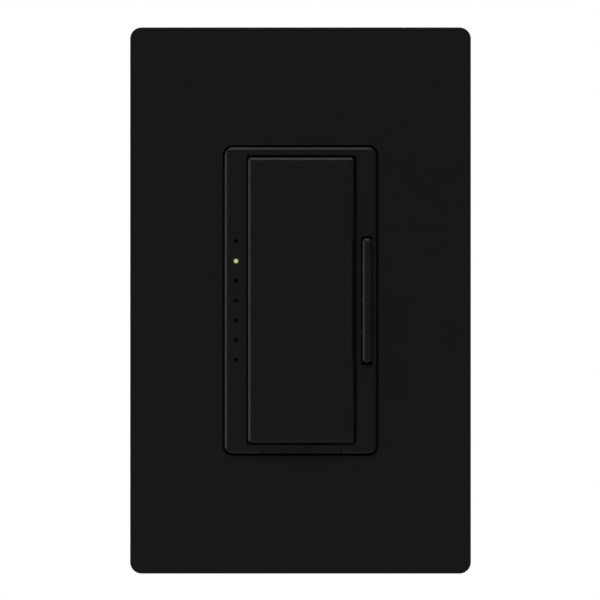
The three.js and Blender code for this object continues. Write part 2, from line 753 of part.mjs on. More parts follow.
function triac() {
  const tabTop = TRIAC_HOLE_Z + 2.9;
  const parts = [
    block([TRIAC_X - 5.1, TRIAC_X + 5.1], [0.5, 1.8], [2.4, tabTop]),
    block([TRIAC_X - 5.1, TRIAC_X + 5.1], [0.7, 4.9], [2, 11]),
  ];
  for (const offset of [-2.54, 0, 2.54]) {
    const lead = [TRIAC_X + offset - 0.4, TRIAC_X + offset + 0.4];
    parts.push(
      block(lead, [2.6, 3.1], [-1, 2.2]),
      block(lead, [2.6, POWER_BOARD_FRONT - GAP], [-1, -0.4]),
    );
  }
  return cut(joined(parts), [rod("y", 1.8, [-1, 3], [TRIAC_X, TRIAC_HOLE_Z])]);
}

function triacInsulator() {
  return cut(block([TRIAC_X - 6, TRIAC_X + 6], [0.15, 0.35], [1, TRIAC_HOLE_Z + 3.9]), [
    rod("y", 1.7, [-1, 1], [TRIAC_X, TRIAC_HOLE_Z], 12),
  ]);
}

function triacScrew() {
  const profile = [[0, -1.3], [1.4, -1.3], [1.4, 1.9], [2.7, 1.9], [2.7, 3.2], [1.9, 3.8], [0, 3.9]];
  const slot = block([TRIAC_X - 3, TRIAC_X + 3], [3.1, 5], [TRIAC_HOLE_Z - 0.4, TRIAC_HOLE_Z + 0.4]);
  return cut(turned("y", profile, [TRIAC_X, TRIAC_HOLE_Z], 16), [slot]);
}

// The octagonal section of the choke ring at one angle round its axis, grown by an offset.
function ringSection(angle, offset) {
  const middle = 8.25;
  const across = 2.75 + offset;
  const along = 4.2 + offset;
  const corner = 1.2;
  const outline = [
    [across, -along + corner],
    [across, along - corner],
    [across - corner, along],
    [-across + corner, along],
    [-across, along - corner],
    [-across, -along + corner],
    [-across + corner, -along],
    [across - corner, -along],
  ];
  return outline.map(([radial, axial]) => [
    (middle + radial) * Math.cos(angle),
    CHOKE_Y + axial,
    CHOKE_Z + (middle + radial) * Math.sin(angle),
  ]);
}

function ringArc(start, end, steps, offsetAt) {
  const loops = [];
  for (let step = 0; step <= steps; step += 1) {
    loops.push(ringSection(start + ((end - start) * step) / steps, offsetAt(step)));
  }
  return skin(loops);
}

function chokeCore() {
  const steps = 18;
  return joined([
    ringArc(0, Math.PI, steps, () => 0),
    ringArc(Math.PI, 2 * Math.PI, steps, () => 0),
  ]);
}

// Turns of wire packed side by side round most of the ring.
function chokeWinding() {
  const turns = 16;
  const start = 0.5;
  const end = 2 * Math.PI - 0.5;
  const ridged = ringArc(start, end, 2 * turns, (step) => (step % 2 ? 0.95 : 0.5));
  return cut(ridged, [ringArc(start - 0.05, end + 0.05, 2 * turns, () => 0.15)]);
}

function filmCapacitor() {
  const levels = [[24, 0.8], [23.2, 0], [POWER_BOARD_BACK + GAP, 0]];
  return slab(18, 8, 0.8, levels, [0, 1], 2);
}

function electrolyticCapacitor() {
  const base = POWER_BOARD_BACK + GAP;
  const bottom = [[0, base], [4.7, base], [5, 11.2], [5, 11.8]];
  const crimp = [[4.7, 12.1], [4.7, 12.6], [5, 12.9]];
  const top = [[5, 24.6], [4.6, 25], [0, 25]];
  return turned("y", [...bottom, ...crimp, ...top], [-6, 13.4]);
}

function varistor() {
  const profile = [[0, 8.9], [4.6, 8.9], [5.5, 10], [5.5, 12], [4.6, 13.1], [0, 13.1]];
  const disc = turned("z", profile, [7, 17.2]);
  const leads = [-2.5, 2.5].map((x) =>
    block([7 + x - 0.35, 7 + x + 0.35], [POWER_BOARD_BACK + GAP, 14], [10.65, 11.35]),
  );
  return joined([disc, ...leads]);
}

function fuse() {
  const leftCap = [[0, -7.6], [2.7, -7.6], [2.7, -4.4], [2.45, -4.4]];
  const rightCap = [[2.45, 4.4], [2.7, 4.4], [2.7, 7.6], [0, 7.6]];
  const clips = [-6, 6].map((x) =>
    block([x - 0.8, x + 0.8], [POWER_BOARD_BACK + GAP, 12.4], [23.4, 24.6]),
  );
  return joined([turned("x", [...leftCap, ...rightCap], [14.2, 24], 16), ...clips]);
}

// ---------------------------------------------------------------- housing and terminals

function housing() {
  const halfWidth = HOUSING_WIDTH / 2;
  const halfHeight = HOUSING_HEIGHT / 2;
  const innerBack = HOUSING_BACK - HOUSING_WALL;
  const shell = slab(HOUSING_WIDTH, HOUSING_HEIGHT, 2, [
    [HOUSING_BACK, 1],
    [HOUSING_BACK - 1, 0],
    [HOUSING_FRONT, 0],
  ], [0, 0], 3);
  const cavity = slab(
    HOUSING_WIDTH - 2 * HOUSING_WALL,
    HOUSING_HEIGHT - 2 * HOUSING_WALL,
    1,
    [[innerBack, 0], [HOUSING_FRONT - REACH, 0]],
    [0, 0],
    2,
  );
  const additions = [];
  const cuts = [];
  for (const end of [-1, 1]) {
    const z = end * TERMINAL_Z;
    for (const side of [-1, 1]) {
      const screwX = side * HOUSING_SCREW_X;
      const screwZ = end * HOUSING_SCREW_Z;
      const toSide = (near, far) => (side < 0 ? [-far, -near] : [near, far]);
      additions.push(
        rod("y", 2.9, [HOUSING_FRONT, innerBack + 0.5], [screwX, screwZ], 14),
        block(toSide(POCKET_FLOOR_X - 1.2, halfWidth - 0.5), [5.3, 20.7], [z - 6.2, z + 6.2]),
      );
      cuts.push(
        rod("y", 1.4, [HOUSING_FRONT - REACH, HOUSING_BACK], [screwX, screwZ], 12),
        rod("y", 2.7, [25.8, HOUSING_BACK + REACH], [screwX, screwZ], 14),
        block(toSide(POCKET_FLOOR_X, halfWidth + REACH), [6.5, 19.5], [z - 5, z + 5]),
        rod("x", 2, toSide(POCKET_FLOOR_X - 2, POCKET_FLOOR_X + 1), [TERMINAL_Y, z], 14),
        block(toSide(POCKET_FLOOR_X - 2, POCKET_FLOOR_X + 1), [9.1, 10.5], [z - 1.5, z + 1.5]),
        rod("y", 1.3, [19, HOUSING_BACK + REACH], [side * 18.8, z], 14),
      );
    }
    // Ribs behind the power board keep it from sliding back.
    const ribHeights = end < 0 ? [-33.5, -31.4] : [31.4, 33.5];
    for (const x of [-9, 9]) {
      additions.push(block([x - 0.8, x + 0.8], [POWER_BOARD_BACK + GAP, innerBack + 0.5], ribHeights));
    }
  }
  // Behind: a plain recess, and a groove as long as the bare wire should be.
  cuts.push(
    block([-11, 11], [HOUSING_BACK - 0.4, HOUSING_BACK + REACH], [-6, 20]),
    block([-6, 6], [HOUSING_BACK - 0.6, HOUSING_BACK + REACH], [-24.5, -22.7]),
  );
  return cut(joined([cut(shell, [cavity]), ...additions]), cuts);
}

function housingScrew(x, z) {
  const shank = [[0, -1.2], [0.9, -1.2], [1.2, -0.7], [1.2, 25.9]];
  const head = [[2.4, 25.9], [2.4, 27.4], [1.7, 27.9], [0, 27.9]];
  const slots = [
    block([x - 1.6, x + 1.6], [27, 29], [z - 0.35, z + 0.35]),
    block([x - 0.35, x + 0.35], [27, 29], [z - 1.6, z + 1.6]),
  ];
  return cut(turned("y", [...shank, ...head], [x, z], 12), slots);
}

// A terminal screw lies along X with its head outside; this is the one on the left.
function terminalScrew(z) {
  const head = [[0, -21.5], [3, -21.5], [4, -20.9], [4, -19.2]];
  const shank = [[1.7, -19.2], [1.7, -14], [1.2, -13.6], [0, -13.6]];
  return cut(turned("x", [...head, ...shank], [TERMINAL_Y, z], 20), [
    block([-23, -20.4], [TERMINAL_Y - 5, TERMINAL_Y + 5], [z - 0.5, z + 0.5]),
    block([-23, -20.4], [TERMINAL_Y - 0.5, TERMINAL_Y + 0.5], [z - 1.9, z + 1.9]),
  ]);
}

// The clamp plate under a terminal screw, with the blade that joins it to the power board.
function terminalClamp(z) {
  const floor = -POCKET_FLOOR_X - GAP;
  const plate = block([floor - 1.4, floor], [8.5, 17.5], [z - 4, z + 4]);
  const blade = block([floor - 0.2, -15.5], [9.3, 10.3], [z - 1.3, z + 1.3]);
  return cut(joined([plate, blade]), [rod("x", 1.9, [-20, -16], [TERMINAL_Y, z], 14)]);
}

// ---------------------------------------------------------------- assembly

addPiece("wall_plate", wallPlate(), BLACK_PLASTIC);
addPiece("plate_adapter", plateAdapter(), BLACK_PLASTIC);
addPiece("adapter_screw_top", adapterScrew(1), STEEL);
addPiece("adapter_screw_bottom", adapterScrew(-1), STEEL);
addPiece("bezel", bezel(), BLACK_PLASTIC);
addPiece("tap_paddle", tapPaddle(), BLACK_PLASTIC);
addPiece("dim_rocker", dimRocker(), BLACK_PLASTIC);
addPiece("rocker_pin", rod("x", ROCKER_PIN_RADIUS, [12.5, 16], [ROCKER_PIN_Y, 0], 12), BLACK_OXIDE);
addPiece("light_pipe", lightPipe(), SMOKE_PLASTIC);

addPiece("airgap_tab", airgapTab(), BLACK_PLASTIC);
addPiece("airgap_leaf", airgapLeaf(), BRASS);
addPiece("airgap_post", airgapPost(), BRASS);
addPiece("airgap_contact", airgapContact(), BRASS);

addPiece("yoke", yoke(), ALUMINIUM);
addPiece("mounting_screw_top", mountingScrew(1), STEEL);
addPiece("mounting_screw_bottom", mountingScrew(-1), STEEL);
addPiece("screw_retainer_top", screwRetainer(1), FIBRE);
addPiece("screw_retainer_bottom", screwRetainer(-1), FIBRE);

addPiece("insulator_sheet", insulatorSheet(), FILM);
addPiece("control_board", controlBoard(), BOARD_BLACK);
lightPositions().forEach((z, index) => addPiece(`led_${index + 1}`, levelLight(z), LED_RESIN));
addPiece("tact_switch_tap", switchBody(PADDLE_X, TAP_Z, 6, 6, -7.1, 1.85, -5), BLACK_PLASTIC);
addPiece("tact_stem_tap", switchStem(PADDLE_X, TAP_Z, 1.7, -8, -5.5), FILM);
for (const [name, side] of [["raise", 1], ["lower", -1]]) {
  const z = side * ROCKER_LEG_Z;
  addPiece(`tact_switch_${name}`, switchBody(14, z, 2.7, 3.4, -5.6, 0.85, -4.6), BLACK_PLASTIC);
  addPiece(`tact_stem_${name}`, switchStem(14, z, 0.7, -6.15, -5), FILM);
}
addPiece("microcontroller", microcontroller(), FERRITE);

addPiece("power_board", powerBoard(), BOARD_GREEN);
addPiece("board_header", boardHeader(), BLACK_PLASTIC);
addPiece("triac", triac(), FERRITE);
addPiece("triac_insulator", triacInsulator(), FILM);
addPiece("triac_screw", triacScrew(), STEEL);
addPiece("choke_core", chokeCore(), FERRITE);
addPiece("choke_winding", chokeWinding(), COPPER);
addPiece("film_capacitor", filmCapacitor(), CAPACITOR_YELLOW);
addPiece("electrolytic_capacitor", electrolyticCapacitor(), SLEEVE_BLUE);
addPiece("varistor", varistor(), DISC_BLUE);
addPiece("fuse", fuse(), CERAMIC_WHITE);

addPiece("housing", housing(), HOUSING_PLASTIC);
let housingScrewNumber = 0;
for (const z of [HOUSING_SCREW_Z, -HOUSING_SCREW_Z]) {
  for (const x of [-HOUSING_SCREW_X, HOUSING_SCREW_X]) {
    housingScrewNumber += 1;
    addPiece(`housing_screw_${housingScrewNumber}`, housingScrew(x, z), STEEL);
  }
}
addPiece("terminal_screw_brass", terminalScrew(TERMINAL_Z), BRASS);
addPiece("terminal_screw_black", terminalScrew(-TERMINAL_Z), BLACK_OXIDE);
addPiece("terminal_screw_blue", mirroredX(terminalScrew(TERMINAL_Z)), BLUE_PAINT);
addPiece("terminal_screw_green", mirroredX(terminalScrew(-TERMINAL_Z)), GREEN_PAINT);
addPiece("terminal_clamp_brass", terminalClamp(TERMINAL_Z), BRASS);
addPiece("terminal_clamp_black", terminalClamp(-TERMINAL_Z), BRASS);
addPiece("terminal_clamp_blue", mirroredX(terminalClamp(TERMINAL_Z)), BRASS);
addPiece("terminal_clamp_green", mirroredX(terminalClamp(-TERMINAL_Z)), BRASS);

export default dimmer;
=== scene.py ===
"""The looks of a black wall dimmer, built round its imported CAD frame.

Shapes are modelled in millimetres in the frame's own axes: +Z up, +X right as seen from the room,
-Y towards the room. They are scaled to metres when a piece is finished.
"""

import json
import math

import bmesh
import bpy
from mathutils import Matrix, Vector

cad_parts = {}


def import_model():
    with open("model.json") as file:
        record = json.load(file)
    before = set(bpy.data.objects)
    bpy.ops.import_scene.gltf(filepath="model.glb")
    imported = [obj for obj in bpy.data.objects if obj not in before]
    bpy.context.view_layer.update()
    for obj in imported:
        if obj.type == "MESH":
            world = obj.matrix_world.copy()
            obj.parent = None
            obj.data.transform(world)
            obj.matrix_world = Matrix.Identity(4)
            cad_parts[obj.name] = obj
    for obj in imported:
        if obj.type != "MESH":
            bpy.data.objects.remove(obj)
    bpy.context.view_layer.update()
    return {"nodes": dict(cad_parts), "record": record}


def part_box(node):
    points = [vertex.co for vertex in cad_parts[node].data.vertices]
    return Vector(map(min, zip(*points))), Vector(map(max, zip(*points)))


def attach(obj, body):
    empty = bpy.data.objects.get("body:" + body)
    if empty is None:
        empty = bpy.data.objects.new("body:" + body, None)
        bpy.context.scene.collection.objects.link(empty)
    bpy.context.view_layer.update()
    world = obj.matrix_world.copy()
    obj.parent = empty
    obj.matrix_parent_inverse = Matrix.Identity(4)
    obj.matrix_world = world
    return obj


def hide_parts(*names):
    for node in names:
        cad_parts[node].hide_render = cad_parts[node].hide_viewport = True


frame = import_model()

MM = 0.001
scene = bpy.context.scene

# ------------------------------------------------------------------ sizes, in millimetres

CLEAR = 1.0  # how far a cutter runs past the surface it opens
SINK = 0.2  # how far fused solids run into each other
SOFT_EDGE = 0.07
FINE_EDGE = 0.05

# Wall plate.
PLATE_CORNER = 2.5
PLATE_EDGE = 0.22
PLATE_LIP = 0.15
PLATE_FACE = 2.2
PLATE_WALL = 2.0
PLATE_RIM = 1.2  # the raised rim behind the opening
PLATE_RIM_DEPTH = 0.6
PLATE_FILLET = 0.5
PLATE_FLOOR_CORNER = 1.0
PLATE_INNER_CORNER = 1.2
OPENING = (33.8, 67.5)
OPENING_CORNER = 2.0
PRY_NOTCH = (12.0, 1.3, 2.5)  # width, depth and height
HOOK_Z = 30.0
HOOK_HEIGHT = 8.0
HOOK_REACH = 0.9
HOOK_DEPTH = (-1.5, -0.5)

# Adapter that the plate snaps onto.
ADAPTER_CORNER = 2.0
ADAPTER_SHEET = 1.4
ADAPTER_WALL = 1.4
ADAPTER_OPENING = (33.2, 66.9)
ADAPTER_OPENING_CORNER = 1.7
ADAPTER_RIM = (36.2, 69.9)
ADAPTER_BOSS_RADIUS = 4.6

# Bezel.
BEZEL_WIDTH = 33.0
BEZEL_BACK = -1.75
BEZEL_CORNER = 1.65
BEZEL_EDGE = 0.5
BEZEL_FACE = 1.5
BEZEL_WALL = 1.2
BEZEL_RIGHT_WALL = 0.75
WINDOW = (24.0, 63.05)
WINDOW_CENTRE = (0.2, 0.125)
WINDOW_CORNER = 0.5
RIB_Z = 20.0
RIB_HALF = 1.5
RIB_BACK = -3.7
RIB_LEFT_END = -14.6
RIB_RIGHT_END = 15.0
LEG_Z = 24.0
LEG_HALF = 2.5
LEG_BACK = 1.3
BARB_DEPTH = (0.15, 1.0)
SOCKETS = ((-13.6, -12.1), (12.4, 13.9))
SOCKET_FRONT = -7.5
SOCKET_BACK = 1.5  # behind the pivot
SOCKET_BORE = 1.15
SOCKET_MOUTH = 1.8

# Tap paddle, which turns about its pivot (y, z).
PADDLE = (23.05, 62.05)
PADDLE_CENTRE = (0.125, 0.075)
PADDLE_CORNER = 0.55
PADDLE_EDGE = 0.52
PADDLE_FACE = 1.4
PADDLE_WALL = 1.2
PADDLE_BACK = -6.4
PADDLE_RIBS = (-24.0, -8.0, 22.0)
PIVOT = (-5.4, 28.5)
TRUNNION_RADIUS = 1.0
TRUNNION_LUG = 1.9
TAP_Z = 9.5
TAP_POST_RADIUS = 1.6
TAP_POST_BACK = -8.1
LIP_DEPTH = (-7.1, PADDLE_BACK)
CATCH_WIDTH = 1.8
CATCH_DROP = 0.85

# Air-gap tab and its arm.
TAB_TOP = -31.45
TAB_BACK = -5.35
TAB_GAP = 0.1
ARM_SLOT = (0.8, 6.2)

# Raise/lower rocker.
ROCKER_X = 14.45
ROCKER_SLOT = (2.5, 28.0)
ROCKER_CORNER = 0.6
ROCKER_EDGE = 0.5
ROCKER_BACK = -7.7
ROCKER_PIN_Y = -6.5
ROCKER_BORE = 0.6
ROCKER_LEG_Z = 7.0
ROCKER_LEG_TIP = -6.25

# Level lights.
LIGHT_X = -14.05
LIGHT_PITCH = 4.3
LIGHT_COUNT = 7
LIGHT_HOLE_RADIUS = 0.45
LIGHT_POST_RADIUS = 0.38
LIGHT_DEPTH = 0.7  # how far the unlit tips stand behind the bezel's face
LIT_LIGHT = 1
LIT_STRENGTH = 1.0
COMB_DEPTH = (-6.6, -5.7)

# Yoke: widths, heights and corner radii, then its holes.
YOKE_BODY = (62.0, 74.0, 1.5)
YOKE_EARS = (40.0, 106.4, 4.0)
YOKE_EDGE = 0.15
BOX_SLOT = (6.5, 3.9, 1.9)
FIN_LINES = (22.8, 26.9)
SCORE_BACK = -0.8
LEG_SLOT_X = 16.2
HEADER_WINDOW = ((-6.5, 6.5), (-21.0, -14.0))
ARM_WINDOW = ((0.7, 6.3), (-32.8, -31.2))
TRIAC_HOLE = (-9.0, 14.6)
TRIAC_HOLE_RADIUS = 1.55

# Fixings.
BOX_SCREW_Z = 41.65
BOX_SCREW_ACCESS = 4.2
ADAPTER_SCREW_Z = 48.4
ADAPTER_SCREW_HOLE = 1.6
FINE_PITCH = 0.8
RECESS_SPAN = 3.4
RECESS_WIDTH = 0.7
RECESS_DEPTH = 1.1

# Housing and terminals.
HOUSING_WALL = 1.8
HOUSING_CORNER = 2.0
HOUSING_CHAMFER = 1.0
HOUSING_SCREW = (18.2, 31.2)
HOUSING_SCREW_HOLE = 1.4
HOUSING_SCREW_SEAT = 25.8
HOUSING_BOSS_RADIUS = 2.9
TERMINAL_Y = 13.0
TERMINAL_Z = 14.0
POCKET_FLOOR_X = 17.0
PUSH_IN_X = 18.8

# Choke: the ring's middle, and half the width and depth of the wire's path round its section.
CHOKE_Y = 16.0
CHOKE_Z = -19.0
CHOKE_RADIUS = 8.25
CHOKE_SECTION = (3.27, 4.72)
CHOKE_CORNER = 1.3
CHOKE_TURNS = 33
CHOKE_GAP_ANGLE = 0.55
WIRE_RADIUS = 0.38

FUSE_CENTRE = (14.2, 24.0)

# Angles round a thin wire.
HEXAGON = [math.pi / 3 * corner for corner in range(6)]


def node_box(node):
    """Lowest and highest corners of a CAD node, in millimetres."""
    low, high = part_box(node)
    return low / MM, high / MM


def around(middle, half):
    """Limits at one distance either side of a middle."""
    return middle - half, middle + half


def between(first, second):
    """Two limits, the lower one first."""
    return sorted((first, second))


def light_heights():
    top = (LIGHT_COUNT - 1) / 2 * LIGHT_PITCH
    return [top - index * LIGHT_PITCH for index in range(LIGHT_COUNT)]


# ------------------------------------------------------------------ mesh vocabulary


def object_from(bm, name="part"):
    """A linked object from a bmesh, with its faces turned outwards."""
    bmesh.ops.recalc_face_normals(bm, faces=bm.faces)
    mesh = bpy.data.meshes.new(name)
    bm.to_mesh(mesh)
    bm.free()
    obj = bpy.data.objects.new(name, mesh)
    scene.collection.objects.link(obj)
    return obj


def loft(loops, ring=False):
    """A closed skin through loops of points: capped at both ends, or joined end to end as a ring."""
    bm = bmesh.new()
    rows = [[bm.verts.new(point) for point in loop] for loop in loops]
    pairs = list(zip(rows, rows[1:]))
    if ring:
        pairs.append((rows[-1], rows[0]))
    for near, far in pairs:
        for index in range(len(near)):
            after = (index + 1) % len(near)
            bm.faces.new((near[index], near[after], far[after], far[index]))
    if not ring:
        bm.faces.new(list(reversed(rows[0])))
        bm.faces.new(rows[-1])
    return object_from(bm)


def rounded_loop(width, height, radius, y, centre=(0.0, 0.0), steps=8):
    """A rectangle with round corners at one depth, anticlockwise as seen from the front."""
    points = []
    for quarter, side_x, side_z in ((0, 1, 1), (1, -1, 1), (2, -1, -1), (3, 1, -1)):
        for step in range(steps + 1):
            angle = (quarter + step / steps) * math.pi / 2
            x = centre[0] + side_x * (width / 2 - radius) + radius * math.cos(angle)
            z = centre[1] + side_z * (height / 2 - radius) + radius * math.sin(angle)
            points.append((x, y, z))
    return points


def quarter_round(radius, steps):
    """(distance before the face, inset from the side) pairs along a rounded edge, side first."""
    pairs = []
    for step in range(steps + 1):
        angle = step / steps * math.pi / 2
        pairs.append((radius * (1 - math.sin(angle)), radius * (1 - math.cos(angle))))
    return pairs


def slab_loops(width, height, corner, back, front, edge=0.0, centre=(0.0, 0.0), steps=8, edge_steps=5):
    """Loops of a slab from its back forwards, with its front edge rounded."""
    levels = [(back, 0.0)]
    if edge:
        levels += [(front + before, inset) for before, inset in quarter_round(edge, edge_steps)]
    else:
        levels.append((front, 0.0))
    return [
        rounded_loop(width - 2 * inset, height - 2 * inset, max(corner - inset, corner / 4), y, centre, steps)
        for y, inset in levels
    ]


def slab(*args, **options):
    return loft(slab_loops(*args, **options))


def block(x, y, z):
    """A box between two limits on each axis."""
    bm = bmesh.new()
    bmesh.ops.create_cube(bm, size=1.0)
    for vert in bm.verts:
        for axis, (low, high) in enumerate((x, y, z)):
            vert.co[axis] = (low + high) / 2 + vert.co[axis] * (high - low)
    return object_from(bm)


def turned(axis, profile, centre, segments=32):
    """A turned solid: (radius, position) pairs along the axis, from axis to axis."""
    bm = bmesh.new()
    along = "xyz".index(axis)
    rings = []
    for radius, position in profile:
        ring = []
        for index in range(1 if radius == 0 else segments):
            angle = 2 * math.pi * index / segments
            point = [centre[0] + radius * math.cos(angle), centre[1] + radius * math.sin(angle)]
            point.insert(along, position)
            ring.append(bm.verts.new(point))
        rings.append(ring)
    for near, far in zip(rings, rings[1:]):
        for index in range(segments):
            after = (index + 1) % segments
            corners = [near[index % len(near)], near[after % len(near)]]
            corners += [far[after % len(far)], far[index % len(far)]]
            corners = list(dict.fromkeys(corners))
            if len(corners) > 2:
                bm.faces.new(corners)
    return object_from(bm)


def rod(axis, radius, ends, centre, segments=24):
    return turned(axis, [(0, ends[0]), (radius, ends[0]), (radius, ends[1]), (0, ends[1])], centre, segments)


def threaded(axis, radius, depth, pitch, ends, centre, segments=20):
    """A rod with a helical thread cut into it."""
    rows = round(5 * (ends[1] - ends[0]) / pitch)
    steps = [ends[0] + (ends[1] - ends[0]) * row / rows for row in range(rows + 1)]
    obj = turned(axis, [(0, ends[0])] + [(radius, at) for at in steps] + [(0, ends[1])], centre, segments)
    along = "xyz".index(axis)
    across = [index for index in range(3) if index != along]
    for vert in obj.data.vertices:
        offset = [vert.co[index] - middle for index, middle in zip(across, centre)]
        if math.hypot(*offset) < radius / 2:
            continue
        turn = math.atan2(offset[1], offset[0]) / (2 * math.pi)
        phase = ((vert.co[along] - ends[0]) / pitch - turn) % 1.0
        share = 1 - depth * (1 - abs(2 * phase - 1)) / radius
        for index, middle, distance in zip(across, centre, offset):
            vert.co[index] = middle + distance * share
    return obj


def mirrored(obj):
    """A copy of an object, mirrored from left to right."""
    mesh = obj.data.copy()
    mesh.transform(Matrix.Scale(-1, 4, (1, 0, 0)))
    mesh.flip_normals()
    twin = bpy.data.objects.new(obj.name, mesh)
    scene.collection.objects.link(twin)
    return twin


def bake(obj):
    """Turns an object's modifiers into its mesh."""
    depsgraph = bpy.context.evaluated_depsgraph_get()
    mesh = bpy.data.meshes.new_from_object(obj.evaluated_get(depsgraph))
    spent = obj.data
    obj.modifiers.clear()
    obj.data = mesh
    bpy.data.meshes.remove(spent)
    return obj


def combine(obj, others, operation):
    """Adds solids to an object or takes them away, one after another."""
    for other in others:
        modifier = obj.modifiers.new("combine", "BOOLEAN")
        modifier.operation = operation
        modifier.solver = "EXACT"
        modifier.object = other
    bake(obj)
    for other in others:
        bpy.data.objects.remove(other)
    return obj


def fused(obj, *others):
    return combine(obj, others, "UNION")


def cut(obj, *others):
    return combine(obj, others, "DIFFERENCE")


def clean(obj, weld=0.002, flat=0.5):
    """Welds near points and merges the triangles of each flat face."""
    bm = bmesh.new()
    bm.from_mesh(obj.data)
    bmesh.ops.remove_doubles(bm, verts=bm.verts, dist=weld)
    bmesh.ops.dissolve_limit(bm, angle_limit=math.radians(flat), verts=bm.verts, edges=bm.edges)
    bm.to_mesh(obj.data)
    bm.free()
    return obj


def soften(obj, width, angle=38.0, segments=2):
    """Breaks every sharp edge with a small round."""
    modifier = obj.modifiers.new("edge", "BEVEL")
    modifier.width = width
    modifier.segments = segments
    modifier.limit_method = "ANGLE"
    modifier.angle_limit = math.radians(angle)
    modifier.use_clamp_overlap = True
    return bake(obj)


def finish(obj, name, body, material, replaced=(), smooth=40.0):
    """Names a piece, scales it to metres and puts it on its body."""
    obj.name = obj.data.name = name
    obj.data.transform(Matrix.Scale(MM, 4))
    obj.data.shade_smooth()
    obj.data.set_sharp_from_angle(angle=math.radians(smooth))
    normals = obj.modifiers.new("normals", "WEIGHTED_NORMAL")
    normals.keep_sharp = True
    normals.weight = 80
    bake(obj)
    obj.data.materials.clear()
    obj.data.materials.append(material)
    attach(obj, body)
    if replaced:
        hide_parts(*replaced)
    return obj


def cad_copy(node):
    """A copy of a CAD node's mesh in millimetres, welded and with its flat faces whole."""
    mesh = frame["nodes"][node].data.copy()
    mesh.transform(Matrix.Scale(1 / MM, 4))
    obj = bpy.data.objects.new(node, mesh)
    scene.collection.objects.link(obj)
    return clean(obj)


# ------------------------------------------------------------------ material vocabulary


class Surface:
    """A procedural material. Numbers that hold all over a surface are set on the shader's sockets."""

    def __init__(self, name, colour, roughness, metallic=0.0, specular=0.5, **sockets):
        self.material = bpy.data.materials.new(name)
        self.material.use_nodes = True
        self.tree = self.material.node_tree
        self.tree.nodes.clear()
        self.shader = self.add("ShaderNodeBsdfPrincipled")
        output = self.add("ShaderNodeOutputMaterial")
        self.tree.links.new(self.shader.outputs["BSDF"], output.inputs["Surface"])
        self.colour = colour
        self.set("Base Color", (*colour, 1))
        self.set("Roughness", roughness)
        self.set("Metallic", metallic)
        self.set("Specular IOR Level", specular)
        for socket, value in sockets.items():
            self.set(socket.replace("_", " "), value)
        self.places = self.add("ShaderNodeTexCoord").outputs["Object"]

    def add(self, kind):
        return self.tree.nodes.new(kind)

    def set(self, socket, value):
        self.shader.inputs[socket].default_value = value

    def link(self, output, node, socket):
        self.tree.links.new(output, node.inputs[socket])

    def stretched(self, scales):
        """Object coordinates in metres, scaled along each axis."""
        mapping = self.add("ShaderNodeMapping")
        self.link(self.places, mapping, "Vector")
        mapping.inputs["Scale"].default_value = scales
        return mapping.outputs["Vector"]

    def noise(self, scale, detail=2.0, stretch=(1, 1, 1)):
        node = self.add("ShaderNodeTexNoise")
        self.link(self.stretched(stretch), node, "Vector")
        node.inputs["Scale"].default_value = scale
        node.inputs["Detail"].default_value = detail
        return node.outputs["Fac"]

    def cells(self, scale, stretch=(1, 1, 1)):
        node = self.add("ShaderNodeTexVoronoi")
        self.link(self.stretched(stretch), node, "Vector")
        node.inputs["Scale"].default_value = scale
        return node.outputs["Distance"]

    def remap(self, source, low, high, source_low=0.3, source_high=0.7):
        node = self.add("ShaderNodeMapRange")
        self.link(source, node, "Value")
        node.inputs["From Min"].default_value = source_low
        node.inputs["From Max"].default_value = source_high
        node.inputs["To Min"].default_value = low
        node.inputs["To Max"].default_value = high
        return node.outputs["Result"]

    def blend_colours(self, source, first, second, source_low=0.3, source_high=0.7):
        node = self.add("ShaderNodeMix")
        node.data_type = "RGBA"
        self.link(self.remap(source, 0, 1, source_low, source_high), node, "Factor")
        node.inputs[6].default_value = (*first, 1)
        node.inputs[7].default_value = (*second, 1)
        return node.outputs[2]

    def vary_colour(self, source, spread, source_low=0.3, source_high=0.7):
        """Lets the colour run a share darker and lighter over a pattern."""
        darker = [channel * (1 - spread) for channel in self.colour]
        lighter = [channel * (1 + spread) for channel in self.colour]
        mixed = self.blend_colours(source, darker, lighter, source_low, source_high)
        self.link(mixed, self.shader, "Base Color")
        return self

    def vary_roughness(self, source, low, high):
        self.link(self.remap(source, low, high), self.shader, "Roughness")
        return self

    def bump(self, *layers):
        """Adds relief: each layer is a pattern and its depth in millimetres."""
        normal = None
        for source, depth in layers:
            node = self.add("ShaderNodeBump")
            self.link(source, node, "Height")
            node.inputs["Distance"].default_value = depth * MM
            if normal is not None:
                self.link(normal, node, "Normal")
            normal = node.outputs["Normal"]
        self.link(normal, self.shader, "Normal")
        return self


def moulded_surface(name, colour, roughness, specular=0.5, grain=6000, depth=0.004, **sockets):
    """Moulded plastic: a fine spark-eroded grain, faint flow mottling, and gloss that varies a little."""
    surface = Surface(name, colour, roughness, specular=specular, **sockets)
    fine = surface.noise(grain, 3.0)
    cloud = surface.noise(90, 2.0)
    surface.vary_colour(cloud, 0.05)
    surface.vary_roughness(surface.noise(350, 3.0), roughness * 0.93, roughness * 1.07)
    surface.bump((fine, depth), (surface.noise(500, 1.0), depth * 0.8))
    return surface


def moulded(*args, **options):
    return moulded_surface(*args, **options).material


def rolled_metal(name, colour, roughness, along=(1, 1, 60), depth=0.004):
    """Rolled or brushed metal: fine lines along one axis, and cloudy gloss."""
    surface = Surface(name, colour, roughness, metallic=1.0)
    lines = surface.noise(900, 4.0, tuple(1 / step for step in along))
    surface.vary_colour(lines, 0.08)
    surface.vary_roughness(surface.noise(120, 3.0), roughness * 0.8, roughness * 1.25)
    surface.bump((lines, depth), (surface.noise(60, 2.0), depth * 2))
    return surface.material


